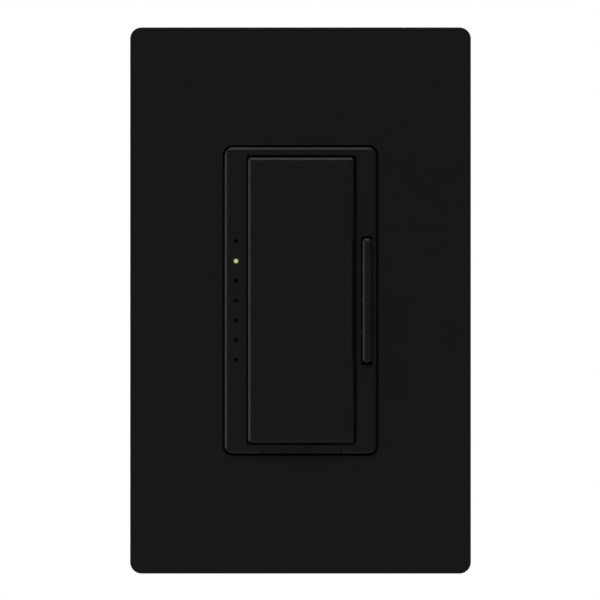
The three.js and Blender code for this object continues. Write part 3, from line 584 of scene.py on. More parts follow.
def plated_metal(name, colour, roughness, tint):
    """A plated fastener: cloudy colour, tiny pits, and a slightly uneven gloss."""
    surface = Surface(name, colour, roughness, metallic=1.0)
    cloud = surface.noise(260, 4.0)
    surface.link(surface.blend_colours(cloud, colour, tint), surface.shader, "Base Color")
    surface.vary_roughness(surface.noise(700, 3.0), roughness * 0.75, roughness * 1.35)
    surface.bump((surface.noise(2500, 2.0), 0.003), (surface.cells(900), 0.004))
    return surface.material


def circuit_board():
    """Green solder resist over faint copper tracks, with a woven glass base."""
    surface = Surface("circuit_board", (0.012, 0.085, 0.035), 0.32, specular=0.5)
    weave = surface.noise(1500, 1.0, (1, 1, 3))
    tracks = surface.add("ShaderNodeTexBrick")
    surface.link(surface.stretched((400, 400, 400)), tracks, "Vector")
    tracks.inputs["Scale"].default_value = 1.0
    pattern = tracks.outputs["Fac"]
    mixed = surface.blend_colours(pattern, (0.010, 0.075, 0.030), (0.022, 0.130, 0.050), 0, 1)
    surface.link(mixed, surface.shader, "Base Color")
    surface.vary_roughness(weave, 0.25, 0.4)
    surface.bump((weave, 0.01), (pattern, 0.02))
    return surface.material


def vulcanised_fibre():
    surface = Surface("fibre", (0.25, 0.13, 0.06), 0.75, specular=0.3)
    strands = surface.noise(1200, 4.0, (1, 1, 0.15))
    surface.vary_colour(strands, 0.3)
    surface.bump((strands, 0.03), (surface.noise(4000, 2.0), 0.01))
    return surface.material


def ferrite():
    surface = Surface("ferrite", (0.035, 0.035, 0.04), 0.6, specular=0.4)
    grains = surface.cells(2500)
    surface.vary_colour(grains, 0.35, 0.1, 0.6)
    surface.bump((grains, 0.02), (surface.noise(600, 3.0), 0.03))
    return surface.material


def enamelled_copper():
    coat = {"Coat_Weight": 0.6, "Coat_Roughness": 0.15}
    surface = Surface("copper_wire", (0.55, 0.17, 0.06), 0.25, metallic=1.0, **coat)
    surface.vary_colour(surface.noise(300, 3.0), 0.2)
    surface.bump((surface.noise(2000, 2.0), 0.005),)
    return surface.material


def smoke_plastic():
    """A dark smoky light guide."""
    surface = Surface("smoke_plastic", (0.008, 0.009, 0.007), 0.3, specular=0.2)
    surface.vary_colour(surface.noise(800, 2.0), 0.15)
    surface.bump((surface.noise(3000, 2.0), 0.003),)
    return surface.material


def from_lit_light(surface, near, far):
    """1 at the lit light's middle, falling to 0: two distances in millimetres, from full to none."""
    away = surface.add("ShaderNodeVectorMath")
    away.operation = "DISTANCE"
    surface.link(surface.places, away, 0)
    bezel_front = node_box("bezel")[0].y
    centre = (LIGHT_X, bezel_front, light_heights()[LIT_LIGHT])
    away.inputs[1].default_value = [value * MM for value in centre]
    return surface.remap(away.outputs["Value"], 1, 0, near * MM, far * MM)


def lit_tip():
    """The lit light's face: brightest in its middle, falling off to a greener rim."""
    surface = Surface("lit_tip", (0.02, 0.022, 0.010), 0.4, specular=0.3)
    share = from_lit_light(surface, 0.25, 0.6)
    colour = surface.blend_colours(share, (0.50, 0.62, 0.14), (0.62, 0.66, 0.40), 0, 1)
    strength = surface.remap(share, LIT_STRENGTH * 0.3, LIT_STRENGTH, 0, 1)
    surface.link(colour, surface.shader, "Emission Color")
    surface.link(strength, surface.shader, "Emission Strength")
    return surface.material


def bezel_plastic_painted_glow():
    """The front's plastic, with painted light round the lit light's hole: the plastic itself emits a painted
    glow, brightest in a ring at the hole's edge, and its base colour is tinted olive where the glow spreads.
    """
    surface = moulded_surface("bezel_plastic_painted_glow", FRONT_COLOUR, FRONT_ROUGHNESS, specular=FRONT_SPECULAR)
    # Masks for the painted glow: a wide spread, and a narrow bright ring at the lit light's hole.
    painted_glow_spread = from_lit_light(surface, 0.85, 1.3)
    rim = from_lit_light(surface, 0.44, 0.62)
    plain = surface.shader.inputs["Base Color"].links[0].from_socket
    # Painted light: the base colour turns olive round the lit light's hole, as if the lamp's light fell on
    # the plastic.
    tint = surface.add("ShaderNodeMix")
    tint.data_type = "RGBA"
    surface.link(painted_glow_spread, tint, "Factor")
    surface.link(plain, tint, 6)
    tint.inputs[7].default_value = (0.0090, 0.0110, 0.0030, 1)
    surface.link(tint.outputs[2], surface.shader, "Base Color")
    # Painted glow: the bezel's plastic emits light round the hole, though only the light's tip is a lamp.
    glow = surface.blend_colours(rim, (0.0008, 0.0022, 0.0), (0.22, 0.26, 0.09), 0, 1)
    surface.link(glow, surface.shader, "Emission Color")
    surface.link(painted_glow_spread, surface.shader, "Emission Strength")
    return surface.material


FRONT_COLOUR = (0.0093, 0.0102, 0.0125)
FRONT_ROUGHNESS = 0.36
FRONT_SPECULAR = 0.22
FRONT_PLASTIC = moulded("front_plastic", FRONT_COLOUR, FRONT_ROUGHNESS, specular=FRONT_SPECULAR)
BEZEL_PLASTIC_PAINTED_GLOW = bezel_plastic_painted_glow()
ADAPTER_PLASTIC = moulded(
    "adapter_plastic", (0.014, 0.0145, 0.0155), 0.5, specular=0.3, grain=3500, depth=0.008
)
HOUSING_PLASTIC = moulded(
    "housing_plastic", (0.016, 0.016, 0.017), 0.55, specular=0.35, grain=2600, depth=0.012
)
ALUMINIUM = rolled_metal("aluminium", (0.62, 0.63, 0.65), 0.36)
ZINC = plated_metal("zinc_steel", (0.55, 0.56, 0.58), 0.28, (0.66, 0.66, 0.62))
BRASS = plated_metal("brass", (0.72, 0.47, 0.16), 0.26, (0.80, 0.56, 0.24))
BLACK_SCREW = plated_metal("black_screw", (0.03, 0.03, 0.033), 0.35, (0.05, 0.048, 0.045))
BLUE_SCREW = moulded("blue_screw", (0.02, 0.07, 0.30), 0.3, grain=1500, depth=0.006, Coat_Weight=0.4)
GREEN_SCREW = moulded("green_screw", (0.02, 0.16, 0.05), 0.3, grain=1500, depth=0.006, Coat_Weight=0.4)
FIBRE = vulcanised_fibre()
FILM = moulded("insulating_film", (0.55, 0.52, 0.40), 0.3, grain=1500, depth=0.004)
BOARD = circuit_board()
SWITCH_PLASTIC = moulded("switch_plastic", (0.02, 0.02, 0.022), 0.5, grain=3000, depth=0.006)
STEM_PLASTIC = moulded(
    "stem_plastic", (0.52, 0.48, 0.36), 0.4, grain=2500, depth=0.005, Subsurface_Weight=0.1
)
EPOXY = moulded("chip_epoxy", (0.016, 0.016, 0.016), 0.6, grain=3500, depth=0.01)
FERRITE = ferrite()
COPPER = enamelled_copper()
YELLOW_CASE = moulded("yellow_case", (0.62, 0.36, 0.03), 0.4, grain=1800, depth=0.008)
BLUE_SLEEVE = moulded("blue_sleeve", (0.015, 0.04, 0.16), 0.25, grain=1200, depth=0.005, Coat_Weight=0.5)
DISC_COATING = moulded("disc_coating", (0.03, 0.12, 0.36), 0.35, grain=900, depth=0.02)
FUSE_CERAMIC = moulded("fuse_ceramic", (0.72, 0.70, 0.64), 0.35, grain=1500, depth=0.005)
SMOKE_PLASTIC = smoke_plastic()
LED_RESIN = moulded("led_resin", (0.62, 0.64, 0.48), 0.3, grain=2500, depth=0.003, Subsurface_Weight=0.1)
BLACK_BOARD = moulded("black_board", (0.010, 0.011, 0.011), 0.45, specular=0.35, grain=1500, depth=0.006)

# ------------------------------------------------------------------ wall plate


def wall_plate():
    """The plate as one closed ring: outside, front face, opening, back of the face, cavity, rim."""
    low, high = node_box("wall_plate")
    width, height, front = high.x - low.x, high.z - low.z, low.y
    inner_face = front + PLATE_FACE
    sections = [(0.0, width, height, PLATE_CORNER)]
    for before, inset in quarter_round(PLATE_EDGE, 5):
        sections.append((front + before, width - 2 * inset, height - 2 * inset, PLATE_CORNER - inset))
    for before, inset in reversed(quarter_round(PLATE_LIP, 3)):
        opening = [side + 2 * inset for side in OPENING]
        sections.append((front + before, *opening, OPENING_CORNER + inset))
    rim_back = inner_face + PLATE_RIM_DEPTH
    rim = [side + 2 * PLATE_RIM for side in OPENING]
    inner = [side - 2 * PLATE_WALL for side in (width, height)]
    floor_edge = [side - 2 * PLATE_FILLET for side in inner]
    sections += [
        (rim_back, *OPENING, OPENING_CORNER),
        (rim_back, *rim, OPENING_CORNER + PLATE_RIM),
        (inner_face, *rim, OPENING_CORNER + PLATE_RIM),
        (inner_face, *floor_edge, PLATE_FLOOR_CORNER),
        (inner_face + PLATE_FILLET, *inner, PLATE_INNER_CORNER),
        (0.0, *inner, PLATE_INNER_CORNER),
    ]
    body = loft([rounded_loop(w, h, r, y, steps=10) for y, w, h, r in sections], ring=True)
    bottom = -height / 2
    notch_width, notch_depth, notch_height = PRY_NOTCH
    notch = (bottom - CLEAR, bottom + notch_height)
    cut(body, block(around(0, notch_width / 2), (-notch_depth, CLEAR), notch))
    reach = (inner[0] / 2 - HOOK_REACH, inner[0] / 2 + SINK)
    hooks = [block(reach, HOOK_DEPTH, around(z, HOOK_HEIGHT / 2)) for z in (-HOOK_Z, HOOK_Z)]
    fused(body, *hooks, *[mirrored(hook) for hook in hooks])
    soften(clean(body), FINE_EDGE)
    finish(body, "wall_plate_shell", "plate", FRONT_PLASTIC, ["wall_plate"])


# ------------------------------------------------------------------ bezel


def snap_socket(left, right):
    """A lug behind the bezel's face with a bore that opens backwards through a narrower mouth."""
    y, z = PIVOT
    through = (left - CLEAR, right + CLEAR)
    return cut(
        block((left, right), (SOCKET_FRONT, y + SOCKET_BACK), around(z, TRUNNION_LUG)),
        rod("x", SOCKET_BORE, through, (y, z), 32),
        block(through, (y, y + 2 * SOCKET_BACK), around(z, SOCKET_MOUTH / 2)),
    )


def bezel():
    low, high = node_box("bezel")
    half_width, half_height = BEZEL_WIDTH / 2, high.z
    front, back = low.y, BEZEL_BACK
    face_back = front + BEZEL_FACE
    body = slab(2 * half_width, 2 * half_height, BEZEL_CORNER, back, front, BEZEL_EDGE, edge_steps=1)
    cavity = block(
        (-half_width + BEZEL_WALL, half_width - BEZEL_RIGHT_WALL),
        (face_back, CLEAR),
        (-half_height + BEZEL_WALL, half_height - BEZEL_WALL),
    )
    window = slab(*WINDOW, WINDOW_CORNER, CLEAR, front - CLEAR, centre=WINDOW_CENTRE)
    cut(body, cavity, window)
    extras = []
    # Ribs that reach back to the control board.
    for z in (-RIB_Z, RIB_Z):
        rib = ((face_back - SINK, RIB_BACK), around(z, RIB_HALF))
        extras.append(block((-half_width + BEZEL_WALL / 2, RIB_LEFT_END), *rib))
        extras.append(block((RIB_RIGHT_END, half_width - BEZEL_RIGHT_WALL + 0.35), *rib))
    # Legs whose barbs hook behind the yoke.
    for z in (-LEG_Z, LEG_Z):
        height = around(z, LEG_HALF)
        leg = fused(
            block((half_width - BEZEL_RIGHT_WALL, half_width), (back - 0.5, LEG_BACK), height),
            block((half_width - 0.3, half_width + 0.5), BARB_DEPTH, height),
        )
        extras += [leg, mirrored(leg)]
    extras += [snap_socket(*ends) for ends in SOCKETS]
    # The lug that holds the rocker's pin.
    extras.append(block((12.35, 13.2), (face_back - SINK, ROCKER_PIN_Y + 0.95), around(0, 1.3)))
    fused(body, *extras)
    tab_low, tab_high = node_box("airgap_tab")
    cuts = [slab(*ROCKER_SLOT, 0.4, face_back + 0.5, front - CLEAR, centre=(ROCKER_X, 0))]
    hole = (front - CLEAR, face_back + CLEAR)
    cuts += [rod("y", LIGHT_HOLE_RADIUS, hole, (LIGHT_X, z)) for z in light_heights()]
    tab = (tab_low.x - TAB_GAP, tab_high.x + TAB_GAP)
    cuts += [
        block(tab, (front - CLEAR, -5.2), (-half_height - CLEAR, TAB_TOP + TAB_GAP)),
        block(ARM_SLOT, (TAB_BACK, 0), (-32.65, -half_height + BEZEL_WALL + TAB_GAP)),
        rod("x", ROCKER_BORE, (12, half_width - 0.35), (ROCKER_PIN_Y, 0)),
    ]
    cut(body, *cuts)
    soften(clean(body), SOFT_EDGE)
    finish(body, "bezel_shell", "base", BEZEL_PLASTIC_PAINTED_GLOW, ["bezel"])


# ------------------------------------------------------------------ paddle, rocker, tab


def tap_paddle():
    low, high = node_box("tap_paddle")
    left, right = around(PADDLE_CENTRE[0], PADDLE[0] / 2)
    bottom, top = around(PADDLE_CENTRE[1], PADDLE[1] / 2)
    front = low.y
    inner = front + PADDLE_FACE
    y, z = PIVOT
    body = slab(*PADDLE, PADDLE_CORNER, PADDLE_BACK, front, PADDLE_EDGE, centre=PADDLE_CENTRE, edge_steps=1)
    across = (left + PADDLE_WALL, right - PADDLE_WALL)
    cut(body, block(across, (inner, CLEAR), (bottom + PADDLE_WALL, top - PADDLE_WALL)))
    lug = ((PADDLE_BACK - SINK, y + TRUNNION_RADIUS + SINK), around(z, TRUNNION_LUG))
    lip_left, lip_right, lip_top = left + 0.1, right - 0.1, bottom + 0.3
    catch = (bottom - CATCH_DROP, lip_top)
    extras = [
        block((left, left + PADDLE_WALL), *lug),
        block((right - PADDLE_WALL, right), *lug),
        rod("x", TRUNNION_RADIUS, (low.x, left + SINK), (y, z), 32),
        rod("x", TRUNNION_RADIUS, (right - SINK, high.x), (y, z), 32),
        rod("y", TAP_POST_RADIUS, (inner - SINK, TAP_POST_BACK), (PADDLE_CENTRE[0], TAP_Z), 32),
        block((lip_left, lip_right), LIP_DEPTH, (TAB_TOP + 0.1, lip_top)),
        block((lip_left, lip_left + CATCH_WIDTH), LIP_DEPTH, catch),
        block((lip_right - CATCH_WIDTH, lip_right), LIP_DEPTH, catch),
    ]
    for at in PADDLE_RIBS:
        extras.append(block((left + 0.6, right - 0.6), (inner - SINK, inner + 0.9), around(at, 0.5)))
    fused(body, *extras)
    soften(clean(body), SOFT_EDGE)
    finish(body, "tap_paddle_shell", "paddle", FRONT_PLASTIC, ["tap_paddle"])


def dim_rocker():
    """The rocker's bar, with a lug for its pin and two legs that press the switches."""
    low, high = node_box("dim_rocker")
    centre = ((low.x + high.x) / 2, 0.0)
    size = (high.x - low.x, high.z - low.z)
    body = slab(*size, ROCKER_CORNER, ROCKER_BACK, low.y, ROCKER_EDGE, centre=centre, edge_steps=1)
    root = ROCKER_BACK - SINK
    extras = [block((low.x, high.x), (root, ROCKER_PIN_Y + 0.7), around(0, 1.1))]
    for z in (-ROCKER_LEG_Z, ROCKER_LEG_Z):
        extras.append(block((low.x, low.x + 1.3), (root, ROCKER_LEG_TIP), around(z, 0.6)))
    fused(body, *extras)
    cut(body, rod("x", ROCKER_BORE, (12, 17), (ROCKER_PIN_Y, 0)))
    soften(clean(body), FINE_EDGE)
    finish(body, "dim_rocker_bar", "rocker", FRONT_PLASTIC, ["dim_rocker"])


def airgap_tab():
    body = soften(cad_copy("airgap_tab"), 0.06)
    finish(body, "airgap_tab_body", "tab", FRONT_PLASTIC, ["airgap_tab"])


def light_pipe():
    """The comb of light posts, whose tips stand back in their holes; the lit one is a lens of its own."""
    low, high = node_box("light_pipe")
    radius = LIGHT_POST_RADIUS
    tip = node_box("bezel")[0].y + LIGHT_DEPTH
    comb_front, comb_back = COMB_DEPTH
    comb = block((low.x, high.x), COMB_DEPTH, (low.z, high.z))
    root = comb_front + 0.1
    post = [(0, tip), (radius - 0.1, tip + 0.02), (radius, tip + 0.12), (radius, root), (0, root)]
    posts = []
    for z in light_heights():
        posts.append(turned("y", post, (LIGHT_X, z), 24))
        posts.append(rod("y", radius, (comb_back - 0.1, high.y), (LIGHT_X, z)))
    fused(comb, *posts)
    soften(clean(comb), FINE_EDGE)
    finish(comb, "light_pipe_comb", "base", SMOKE_PLASTIC, ["light_pipe"])
    front = low.y
    dome = [(0, front - 0.05), (0.25, front - 0.03), (0.38, front + 0.05), (0.42, front + 0.2)]
    dome += [(0.42, tip + 0.1), (0, tip + 0.1)]
    lens = turned("y", dome, (LIGHT_X, light_heights()[LIT_LIGHT]))
    finish(lens, "lit_light_tip", "base", lit_tip())


# ------------------------------------------------------------------ adapter, yoke and fixings


def cross_recess(x, z, y):
    """Cutters for a cross-shaped driver recess in a head whose top is at y, tapered like a real bit."""
    cutters = []
    for half_x, half_z in ((RECESS_SPAN / 2, RECESS_WIDTH / 2), (RECESS_WIDTH / 2, RECESS_SPAN / 2)):
        loops = []
        for level, share in ((y - 0.5, 1.15), (y + RECESS_DEPTH, 0.55)):
            sides = ((1, -1), (1, 1), (-1, 1), (-1, -1))
            loops.append([(x + half_x * share * a, level, z + half_z * share * b) for a, b in sides])
        cutters.append(loft(loops))
    return cutters


def plate_adapter():
    low, high = node_box("plate_adapter")
    front, back = low.y, high.y
    wall = ADAPTER_WALL
    sheet_back = front + ADAPTER_SHEET
    body = slab(high.x - low.x, high.z - low.z, ADAPTER_CORNER, back, front, 0.25, steps=10)
    cut(body, block((low.x + wall, high.x - wall), (sheet_back, CLEAR), (low.z + wall, high.z - wall)))
    rim_front = sheet_back - SINK
    additions = [slab(*ADAPTER_RIM, ADAPTER_CORNER, back, rim_front, steps=10)]
    cuts = [slab(*ADAPTER_OPENING, ADAPTER_OPENING_CORNER, CLEAR, front - CLEAR, steps=10)]
    sink_top = front - 0.5
    countersink = [(0, sink_top), (3.65, sink_top), (3.65, front + 0.35), (1.65, -2.45), (1.65, 0), (0, 0)]
    for side in (-1, 1):
        screw = (0, side * ADAPTER_SCREW_Z)
        additions.append(rod("y", ADAPTER_BOSS_RADIUS, (rim_front, back), screw, 40))
        cuts.append(turned("y", countersink, screw, 48))
        cuts.append(rod("y", BOX_SCREW_ACCESS, (front - CLEAR, 0), (0, side * (BOX_SCREW_Z - 0.6)), 48))
    fused(body, *additions)
    cut(body, *cuts)
    soften(clean(body), 0.1)
    finish(body, "plate_adapter_body", "base", ADAPTER_PLASTIC, ["plate_adapter"])


def yoke():
    """The strap: slotted ears, side fins scored so that they snap off, and the windows through it."""
    low, high = node_box("yoke")
    front, back = low.y, high.y
    body = fused(
        slab(*YOKE_BODY, back, front, YOKE_EDGE, edge_steps=2),
        slab(*YOKE_EARS, back, front, YOKE_EDGE, steps=12, edge_steps=2),
    )
    through = (front - CLEAR, back + CLEAR)
    cuts = []
    for side in (-1, 1):
        cuts.append(slab(*BOX_SLOT, back + CLEAR, front - CLEAR, centre=(0, side * BOX_SCREW_Z), steps=10))
        cuts.append(rod("y", ADAPTER_SCREW_HOLE, through, (0, side * ADAPTER_SCREW_Z), 32))
        for x in FIN_LINES:
            cuts.append(block(around(side * x, 0.3), (front - CLEAR, SCORE_BACK), around(0, 38)))
            cuts.append(block(around(side * x, 0.6), through, around(0, 3)))
        for z in (-HOUSING_SCREW[1], HOUSING_SCREW[1]):
            cuts.append(rod("y", HOUSING_SCREW_HOLE, through, (side * HOUSING_SCREW[0], z), 32))
        for z in (-LEG_Z, LEG_Z):
            cuts.append(block(around(side * LEG_SLOT_X, 0.9), through, around(z, LEG_HALF + 0.3)))
    for x, z in (HEADER_WINDOW, ARM_WINDOW):
        cuts.append(block(x, through, z))
    cuts.append(rod("y", TRIAC_HOLE_RADIUS, through, TRIAC_HOLE, 32))
    cut(body, *cuts)
    soften(clean(body), 0.08)
    finish(body, "yoke_strap", "base", ALUMINIUM, ["yoke"])


def mounting_screws():
    """The two long screws into the wall box, with low domed heads for either kind of driver."""
    top, seat = -3.6, -1.6
    dome = [(0, top), (1.2, -3.57), (2.2, -3.42), (2.9, -3.1), (3.35, -2.6), (3.5, -2.2)]
    head = dome + [(3.5, seat), (0, seat)]
    for name, side in (("mounting_screw_top", 1), ("mounting_screw_bottom", -1)):
        z = side * BOX_SCREW_Z
        screw = turned("y", head, (0, z), 48)
        slot = block(around(0, 4), (top - CLEAR, -3.0), around(z, 0.45))
        cut(screw, slot, *cross_recess(0, z, top))
        soften(clean(screw), FINE_EDGE)
        shank = threaded("y", 1.65, 0.32, FINE_PITCH, (-1.7, 18.6), (0, z))
        point = turned("y", [(0, 18.4), (1.3, 18.4), (1.1, 19.4), (0, 19.4)], (0, z), 20)
        fused(screw, shank, point)
        finish(screw, f"{name}_piece", "base", ZINC, [name])


def adapter_screws():
    for name, side in (("adapter_screw_top", 1), ("adapter_screw_bottom", -1)):
        z = side * ADAPTER_SCREW_Z
        top = node_box(name)[0].y
        head = [(0, top), (3.3, top), (3.45, top + 0.1), (3.45, top + 0.2), (1.5, -2.5), (0, -2.5)]
        screw = turned("y", head, (0, z), 48)
        cut(screw, *cross_recess(0, z, top))
        soften(clean(screw), 0.03)
        fused(screw, threaded("y", 1.45, 0.25, FINE_PITCH, (-2.6, -0.2), (0, z)))
        finish(screw, f"{name}_piece", "base", ZINC, [name])


# ------------------------------------------------------------------ parts on the power board


def ring_path(angle):
    """Points round the choke ring's rounded section at one angle about its axis, under the wire's middle."""
    across, along = CHOKE_SECTION
    corner = CHOKE_CORNER
    points = []
    for quarter, side_r, side_y in ((0, 1, 1), (1, -1, 1), (2, -1, -1), (3, 1, -1)):
        for step in range(4):
            turn = (quarter + step / 3) * math.pi / 2
            reach = CHOKE_RADIUS + side_r * (across - corner) + corner * math.cos(turn)
            y = CHOKE_Y + side_y * (along - corner) + corner * math.sin(turn)
            points.append(Vector((reach * math.cos(angle), y, CHOKE_Z + reach * math.sin(angle))))
    return points


def choke_winding():
    """One enamelled wire wound round most of the ring."""
    start, end = CHOKE_GAP_ANGLE, 2 * math.pi - CHOKE_GAP_ANGLE
    path = []
    for turn in range(CHOKE_TURNS):
        angle = start + (end - start) * turn / CHOKE_TURNS
        near, far = ring_path(angle), ring_path(angle + (end - start) / CHOKE_TURNS)
        path += [a.lerp(b, index / len(near)) for index, (a, b) in enumerate(zip(near, far))]
    loops = []
    for before, at, after in zip(path, path[1:], path[2:]):
        forward = (after - before).normalized()
        outward = (at - Vector((0, CHOKE_Y, CHOKE_Z))).normalized()
        side = forward.cross(outward).normalized()
        up = side.cross(forward)
        loops.append([at + WIRE_RADIUS * (side * math.cos(a) + up * math.sin(a)) for a in HEXAGON])
    winding = loft(loops)
    finish(winding, "choke_winding_wire", "base", COPPER, ["choke_winding"], smooth=80)


def capacitor():
    """The electrolytic: a sleeved can with a bare scored top and a rubber seal below."""
    low, high = node_box("electrolytic_capacitor")
    centre = ((low.x + high.x) / 2, (low.z + high.z) / 2)
    base, top = low.y, high.y
    can = [(0, base + 0.2), (4.6, base + 0.2), (4.95, base + 0.5), (5.0, 11.8), (4.72, 12.15), (4.72, 12.55)]
    can += [(5.0, 12.9), (5.0, top - 0.35), (4.85, top - 0.1), (4.5, top)]
    can += [(4.2, top - 0.05), (4.1, top - 0.25), (0, top - 0.25)]
    sleeve = turned("y", can, centre, 48)
    finish(sleeve, "electrolytic_sleeve", "base", BLUE_SLEEVE, ["electrolytic_capacitor"])
    lid_top = [(4.1, top - 0.15), (3.9, top - 0.1), (0, top - 0.1)]
    lid = turned("y", [(0, top - 0.5), (4.1, top - 0.5)] + lid_top, centre, 48)
    scores = []
    for angle in (0, math.pi / 3, 2 * math.pi / 3):
        score = block(around(0, 3.2), (top - 0.22, top), around(0, 0.12))
        score.data.transform(Matrix.Translation((centre[0], 0, centre[1])) @ Matrix.Rotation(angle, 4, "Y"))
        scores.append(score)
    cut(lid, *scores)
    finish(lid, "electrolytic_lid", "base", ALUMINIUM)
    seal = turned("y", [(0, base), (4.4, base), (4.5, base + 0.4), (0, base + 0.4)], centre, 48)
    finish(seal, "electrolytic_seal", "base", SWITCH_PLASTIC)


def fuse():
    """A ceramic tube between two plated caps, held in clips."""
    y, z = FUSE_CENTRE
    tube = turned("x", [(0, -4.6), (2.45, -4.6), (2.45, 4.6), (0, 4.6)], (y, z), 40)
    finish(tube, "fuse_tube", "base", FUSE_CERAMIC, ["fuse"])
    profile = [(0, 4.4), (2.7, 4.4), (2.7, 7.3), (2.4, 7.6), (0, 7.6)]
    for name, side in (("left", -1), ("right", 1)):
        cap = turned("x", [(radius, side * at) for radius, at in profile], (y, z), 40)
        clip = block(between(side * 5.2, side * 6.8), (node_box("fuse")[0].y, 12.4), (23.4, 24.6))
        fused(cap, clip)
        finish(cap, f"fuse_cap_{name}", "base", ZINC)


# ------------------------------------------------------------------ housing and terminals


def housing():
    """The back box: a tub with a chamfered back edge, screw bosses, terminal pockets, push-in holes and a
    recess behind.
    """
    low, high = node_box("housing")
    front, back = low.y, high.y
    width, height, half_width = high.x - low.x, high.z - low.z, high.x
    chamfer = HOUSING_CHAMFER
    inner_back = back - HOUSING_WALL
    past = back + CLEAR
    outline = [(front, 0.0), (back - chamfer, 0.0), (back - chamfer / 3, chamfer / 3), (back, chamfer)]
    loops = [
        rounded_loop(width - 2 * inset, height - 2 * inset, HOUSING_CORNER - inset / 2, y, steps=10)
        for y, inset in reversed(outline)
    ]
    body = loft(loops)
    inner = (width - 2 * HOUSING_WALL, height - 2 * HOUSING_WALL)
    cut(body, slab(*inner, 1, inner_back, front - CLEAR, steps=6))
    additions, cuts = [], []
    for side in (-1, 1):
        for end in (-1, 1):
            screw = (side * HOUSING_SCREW[0], end * HOUSING_SCREW[1])
            additions.append(rod("y", HOUSING_BOSS_RADIUS, (front, inner_back + 0.5), screw, 32))
            cuts.append(rod("y", HOUSING_SCREW_HOLE, (front - CLEAR, back), screw, 32))
            cuts.append(rod("y", 2.7, (HOUSING_SCREW_SEAT, past), screw, 40))
            z = end * TERMINAL_Z
            pocket = between(side * 15.8, side * (half_width - 0.5))
            additions.append(block(pocket, (5.3, 20.7), around(z, 6.2)))
            outside = side * (half_width + CLEAR)
            cuts.append(block(between(side * POCKET_FLOOR_X, outside), (6.5, 19.5), around(z, 5)))
            bore = between(side * 15, side * 18)
            cuts.append(rod("x", 2, bore, (TERMINAL_Y, z), 32))
            cuts.append(block(bore, (9.1, 10.5), around(z, 1.5)))
            push_in = [(0, 19), (1.3, 19), (1.3, back - 0.5), (1.7, back), (1.7, past), (0, past)]
            cuts.append(turned("y", push_in, (side * PUSH_IN_X, z), 40))
    # Ribs that keep the power board from sliding back.
    for end in (-1, 1):
        for x in (-9, 9):
            additions.append(block(around(x, 0.8), (10.7, inner_back + 0.5), between(end * 31.4, end * 33.5)))
    # Behind: a plain recess, and a groove as long as the bare wire should be.
    cuts.append(block(around(0, 11), (back - 0.4, past), (-6, 20)))
    cuts.append(block(around(0, 6), (back - 0.6, past), (-24.5, -22.7)))
    fused(body, *additions)
    cut(body, *cuts)
    soften(clean(body), 0.18)
    finish(body, "housing_tub", "base", HOUSING_PLASTIC, ["housing"])


def housing_screws():
    head = [(0, 25.9), (2.4, 25.9), (2.4, 27.2), (2.2, 27.55), (1.6, 27.8), (0.9, 27.9), (0, 27.9)]
    for number in range(1, 5):
        name = f"housing_screw_{number}"
        low, high = node_box(name)
        x, z = (low.x + high.x) / 2, (low.z + high.z) / 2
        screw = turned("y", head, (x, z), 40)
        blades = [block(around(x, a), (27, 29), around(z, b)) for a, b in ((1.6, 0.35), (0.35, 1.6))]
        cut(screw, *blades)
        soften(clean(screw), FINE_EDGE)
        shank = threaded("y", 1.2, 0.25, 1.0, (-0.6, 26.0), (x, z), 16)
        point = turned("y", [(0, -1.2), (0.6, -1.2), (0.95, -0.5), (0, -0.5)], (x, z), 16)
        fused(screw, shank, point)
        finish(screw, f"{name}_piece", "base", ZINC, [name])


def terminal_screws():
    """Binding screws along X, with a slot and a square recess across it."""
    kinds = (
        # name, side, end, slot, material
        ("brass", -1, 1, "brass", BRASS),
        ("black", -1, -1, "black_screw", BLACK_SCREW),
        ("blue", 1, 1, "blue_screw", BLUE_SCREW),
        ("green", 1, -1, "green_screw", GREEN_SCREW),
    )
    y = TERMINAL_Y
    head = [(0, -21.5), (2.4, -21.5), (3.3, -21.35), (3.8, -21.0), (4.0, -20.5), (4.0, -19.2), (0, -19.2)]
    for colour, side, end, slot, material in kinds:
        z = end * TERMINAL_Z
        screw = turned("x", head, (y, z), 48)
        cut(
            screw,
            block((-23, -20.4), around(y, 5), around(z, 0.5)),
            block((-23, -20.2), around(y, 1.1), around(z, 1.1)),
        )
        soften(clean(screw), 0.07)
        piece = fused(screw, threaded("x", 1.7, 0.3, FINE_PITCH, (-19.3, -13.9), (y, z)))
        if side > 0:
            piece = mirrored(screw)
            bpy.data.objects.remove(screw)
        name = f"terminal_screw_{colour}"
        finish(piece, f"{name}_piece", "base", material, [name])


# ------------------------------------------------------------------ pieces that keep the CAD's shape

CARRIED = [
    # nodes, slot, material, edge round
    (["board_header"], "housing_plastic", SWITCH_PLASTIC, 0.04),
    (["rocker_pin"], "black_screw", BLACK_SCREW, 0.05),
    (["triac_screw"], "zinc_steel", ZINC, 0.05),
    (["airgap_leaf", "airgap_post", "airgap_contact"], "brass", BRASS, 0.04),
    ([f"terminal_clamp_{colour}" for colour in ("brass", "black", "blue", "green")], "brass", BRASS, 0.08),
    (["screw_retainer_top", "screw_retainer_bottom"], "fibre", FIBRE, 0.05),
    (["insulator_sheet", "triac_insulator"], "insulating_film", FILM, 0.02),
    (["control_board"], "black_board", BLACK_BOARD, 0.05),
    (["power_board"], "circuit_board", BOARD, 0.05),
    (["tact_switch_tap", "tact_switch_raise", "tact_switch_lower"], "switch_plastic", SWITCH_PLASTIC, 0.05),
    (["tact_stem_tap", "tact_stem_raise", "tact_stem_lower"], "stem_plastic", STEM_PLASTIC, 0.05),
    (["microcontroller", "triac"], "chip_epoxy", EPOXY, 0.04),
    (["choke_core"], "ferrite", FERRITE, 0.1),
    (["film_capacitor"], "yellow_case", YELLOW_CASE, 0.15),
    (["varistor"], "disc_coating", DISC_COATING, 0.15),
    ([f"led_{number}" for number in range(1, LIGHT_COUNT + 1)], "led_resin", LED_RESIN, 0.04),
]


